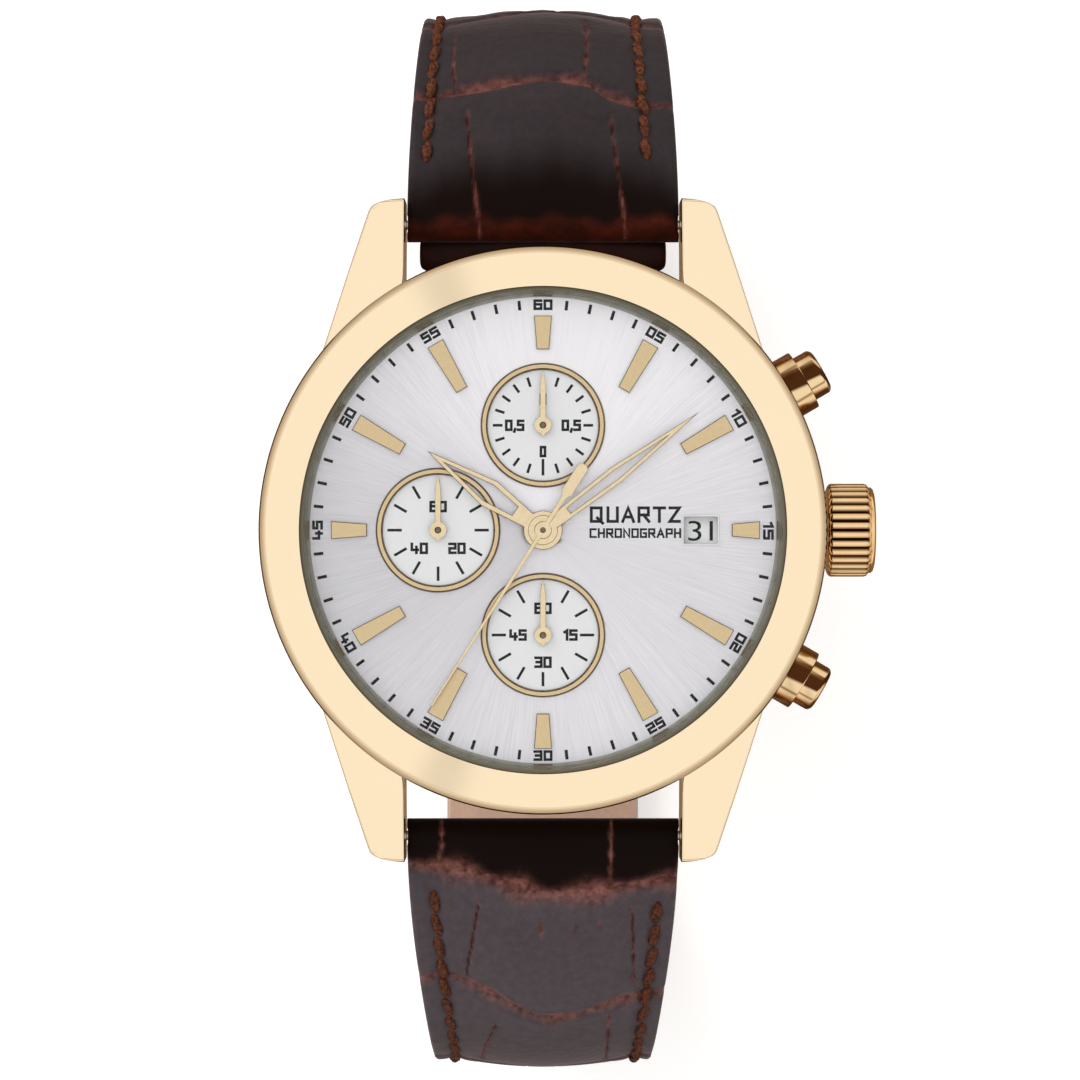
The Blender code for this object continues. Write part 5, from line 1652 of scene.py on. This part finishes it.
def keeper(name, node, body, centre_y, width, room):
    """A folded leather loop round the strap, with room on its outer side for the strap's tail."""
    half, skin, play = STRAP_THICK / 2, 0.9, 0.3
    inner_x = HALF_WIDTH_TAIL + 0.3
    outer_x, top, base = inner_x + skin, half + play + skin, -half - room - skin
    outline = softened([(outer_x, top), (outer_x, base), (-outer_x, base), (-outer_x, top)], 1.0, steps=8)
    inside = [(inner_x, top - skin), (inner_x, base + skin), (-inner_x, base + skin), (-inner_x, top - skin)]
    loop = plate([outline, softened(inside, 0.3)], -width / 2, width / 2, 0.26)
    mesh = moved(loop, buckle_frame_matrix() @ at(0.0, centre_y) @ Matrix.Rotation(math.pi / 2, 4, "X"))
    # painted shade: the loop is made a little darker
    add_value(mesh, "bend_shade", 0.15)
    piece(name, mesh, LEATHER, body, [node], crease_angle=35.0)


# ---------------------------------------------------------------- studio


def floor():
    """A white table. Polished metal sees it as a warm brown, as of a room beyond its edge."""
    bpy.ops.mesh.primitive_plane_add(size=4.0, location=(0.0, 0.0, -0.00005))
    ground = bpy.context.object
    ground.name = "floor"
    look = Look("pale_floor", (0.86, 0.86, 0.86), 0.8)
    look.set("Base Color", look.mix(look.noise(3.0), (0.85, 0.85, 0.85), (0.88, 0.88, 0.88)))
    look.set("Emission Color", (1.0, 1.0, 1.0, 1.0))
    look.set("Emission Strength", 0.36)
    away = look.node("ShaderNodeVectorMath", {0: look.place}, operation="LENGTH").outputs["Value"]
    thrown = look.mix(look.spread(away, 0.10, 0.34), (0.22, 0.14, 0.07), (0.94, 0.90, 0.84))
    room = look.node("ShaderNodeEmission", {"Color": thrown})
    ray = look.node("ShaderNodeLightPath").outputs["Is Glossy Ray"]
    either = look.node("ShaderNodeMixShader", {0: ray, 1: look.shader.outputs[0], 2: room.outputs[0]})
    look.feed(look.tree.nodes["Material Output"].inputs["Surface"], either.outputs[0])
    ground.data.materials.append(look.material)


def softbox(name, place, aim, size, power, colour=(1.0, 1.0, 1.0)):
    lamp = bpy.data.lights.new(name, "AREA")
    lamp.shape = "RECTANGLE"
    lamp.size, lamp.size_y = size
    lamp.energy = power
    lamp.color = colour
    holder = bpy.data.objects.new(name, lamp)
    bpy.context.scene.collection.objects.link(holder)
    holder.location = place
    holder.rotation_euler = (Vector(aim) - Vector(place)).to_track_quat("-Z", "Y").to_euler()
    holder.visible_glossy = False


def sky():
    """A light tent of soft boxes: bright overhead, with darker seams that give polished metal its edges."""
    world = bpy.data.worlds.new("tent")
    world.use_nodes = True
    tree = world.node_tree
    ground = tree.nodes["Background"]

    def node(kind, inputs, **settings):
        made = tree.nodes.new(kind)
        for setting, value in settings.items():
            setattr(made, setting, value)
        for socket, value in inputs.items():
            if isinstance(value, bpy.types.NodeSocket):
                tree.links.new(value, made.inputs[socket])
            else:
                made.inputs[socket].default_value = value
        return made

    way = node(
        "ShaderNodeSeparateXYZ", {0: tree.nodes.new("ShaderNodeTexCoord").outputs["Generated"]},
    ).outputs
    ramp = node("ShaderNodeValToRGB", {0: way["Z"]})
    stops = [
        (0.0, (0.93, 0.89, 0.83)), (0.33, (0.97, 0.95, 0.92)), (0.41, (0.42, 0.33, 0.23)),
        (0.50, (0.42, 0.33, 0.23)),
        (0.58, (1.0, 0.998, 0.99)), (1.0, (1.0, 1.0, 1.0)),
    ]
    while len(ramp.color_ramp.elements) < len(stops):
        ramp.color_ramp.elements.new(0.5)
    for element, (position, colour) in zip(ramp.color_ramp.elements, stops):
        element.position = position
        element.color = (*colour, 1.0)
    heading = node("ShaderNodeMath", {0: way["Y"], 1: way["X"]}, operation="ARCTAN2").outputs[0]
    off = node("ShaderNodeMath", {0: heading}, operation="ABSOLUTE").outputs[0]
    off = node("ShaderNodeMath", {0: off, 1: math.radians(112.0)}, operation="SUBTRACT").outputs[0]
    off = node("ShaderNodeMath", {0: off}, operation="ABSOLUTE").outputs[0]
    spread = {"Value": off, "From Min": 0.03, "From Max": 0.13, "To Min": 0.80, "To Max": 1.0}
    seam = node("ShaderNodeMapRange", spread).outputs["Result"]
    high = node(
        "ShaderNodeMapRange", {"Value": way["Z"], "From Min": 0.86, "From Max": 0.93},
    ).outputs["Result"]
    shade = node("ShaderNodeMath", {0: seam, 1: high}, operation="MAXIMUM").outputs[0]
    tree.links.new(ramp.outputs[0], ground.inputs[0])
    tree.links.new(shade, ground.inputs[1])
    plain = node("ShaderNodeBackground", {0: (1.0, 1.0, 1.0, 1.0)})
    seen = node("ShaderNodeLightPath", {}).outputs["Is Camera Ray"]
    either = node("ShaderNodeMixShader", {0: seen, 1: ground.outputs[0], 2: plain.outputs[0]})
    tree.links.new(either.outputs[0], tree.nodes["World Output"].inputs[0])
    bpy.context.scene.world = world


def camera():
    lens = bpy.data.cameras.new("camera")
    lens.sensor_width = 36.0
    lens.lens = 136.4
    lens.clip_start = 0.01
    lens.clip_end = 10.0
    holder = bpy.data.objects.new("camera", lens)
    holder.location = (-0.22 * MM, -0.73 * MM, 0.346)
    bpy.context.scene.collection.objects.link(holder)
    bpy.context.scene.camera = holder


def studio():
    floor()
    sky()
    camera()
    softbox("key", (-0.36, 0.42, 0.34), (0.0, 0.0, 0.04), (0.5, 0.5), 3.0)
    view = bpy.context.scene.view_settings
    view.view_transform = "Standard"
    view.look = "None"


# ---------------------------------------------------------------- everything

for name, node in frame["nodes"].items():
    node.data.materials.clear()
    node.data.materials.append(CAD_LOOKS[SLOT_OF[name]].material)
    node.data.shade_smooth()
    node.data.set_sharp_from_angle(angle=math.radians(35.0))

case_shell()
bezel_and_glass()
back_cover()
spring_bars()
crown()
pushers()
return_springs()
centre_wheel()
dial_plate()
counters()
dial_print()
date_ring()
hands()
strap_halves()
buckle()
keeper("fixed_loop", "fixed_keeper", "strap_12", 5.4, 3.6, 2.5)
keeper("sliding_loop", "free_keeper", "keeper_body", 11.5, 4.6, 2.5)
studio()
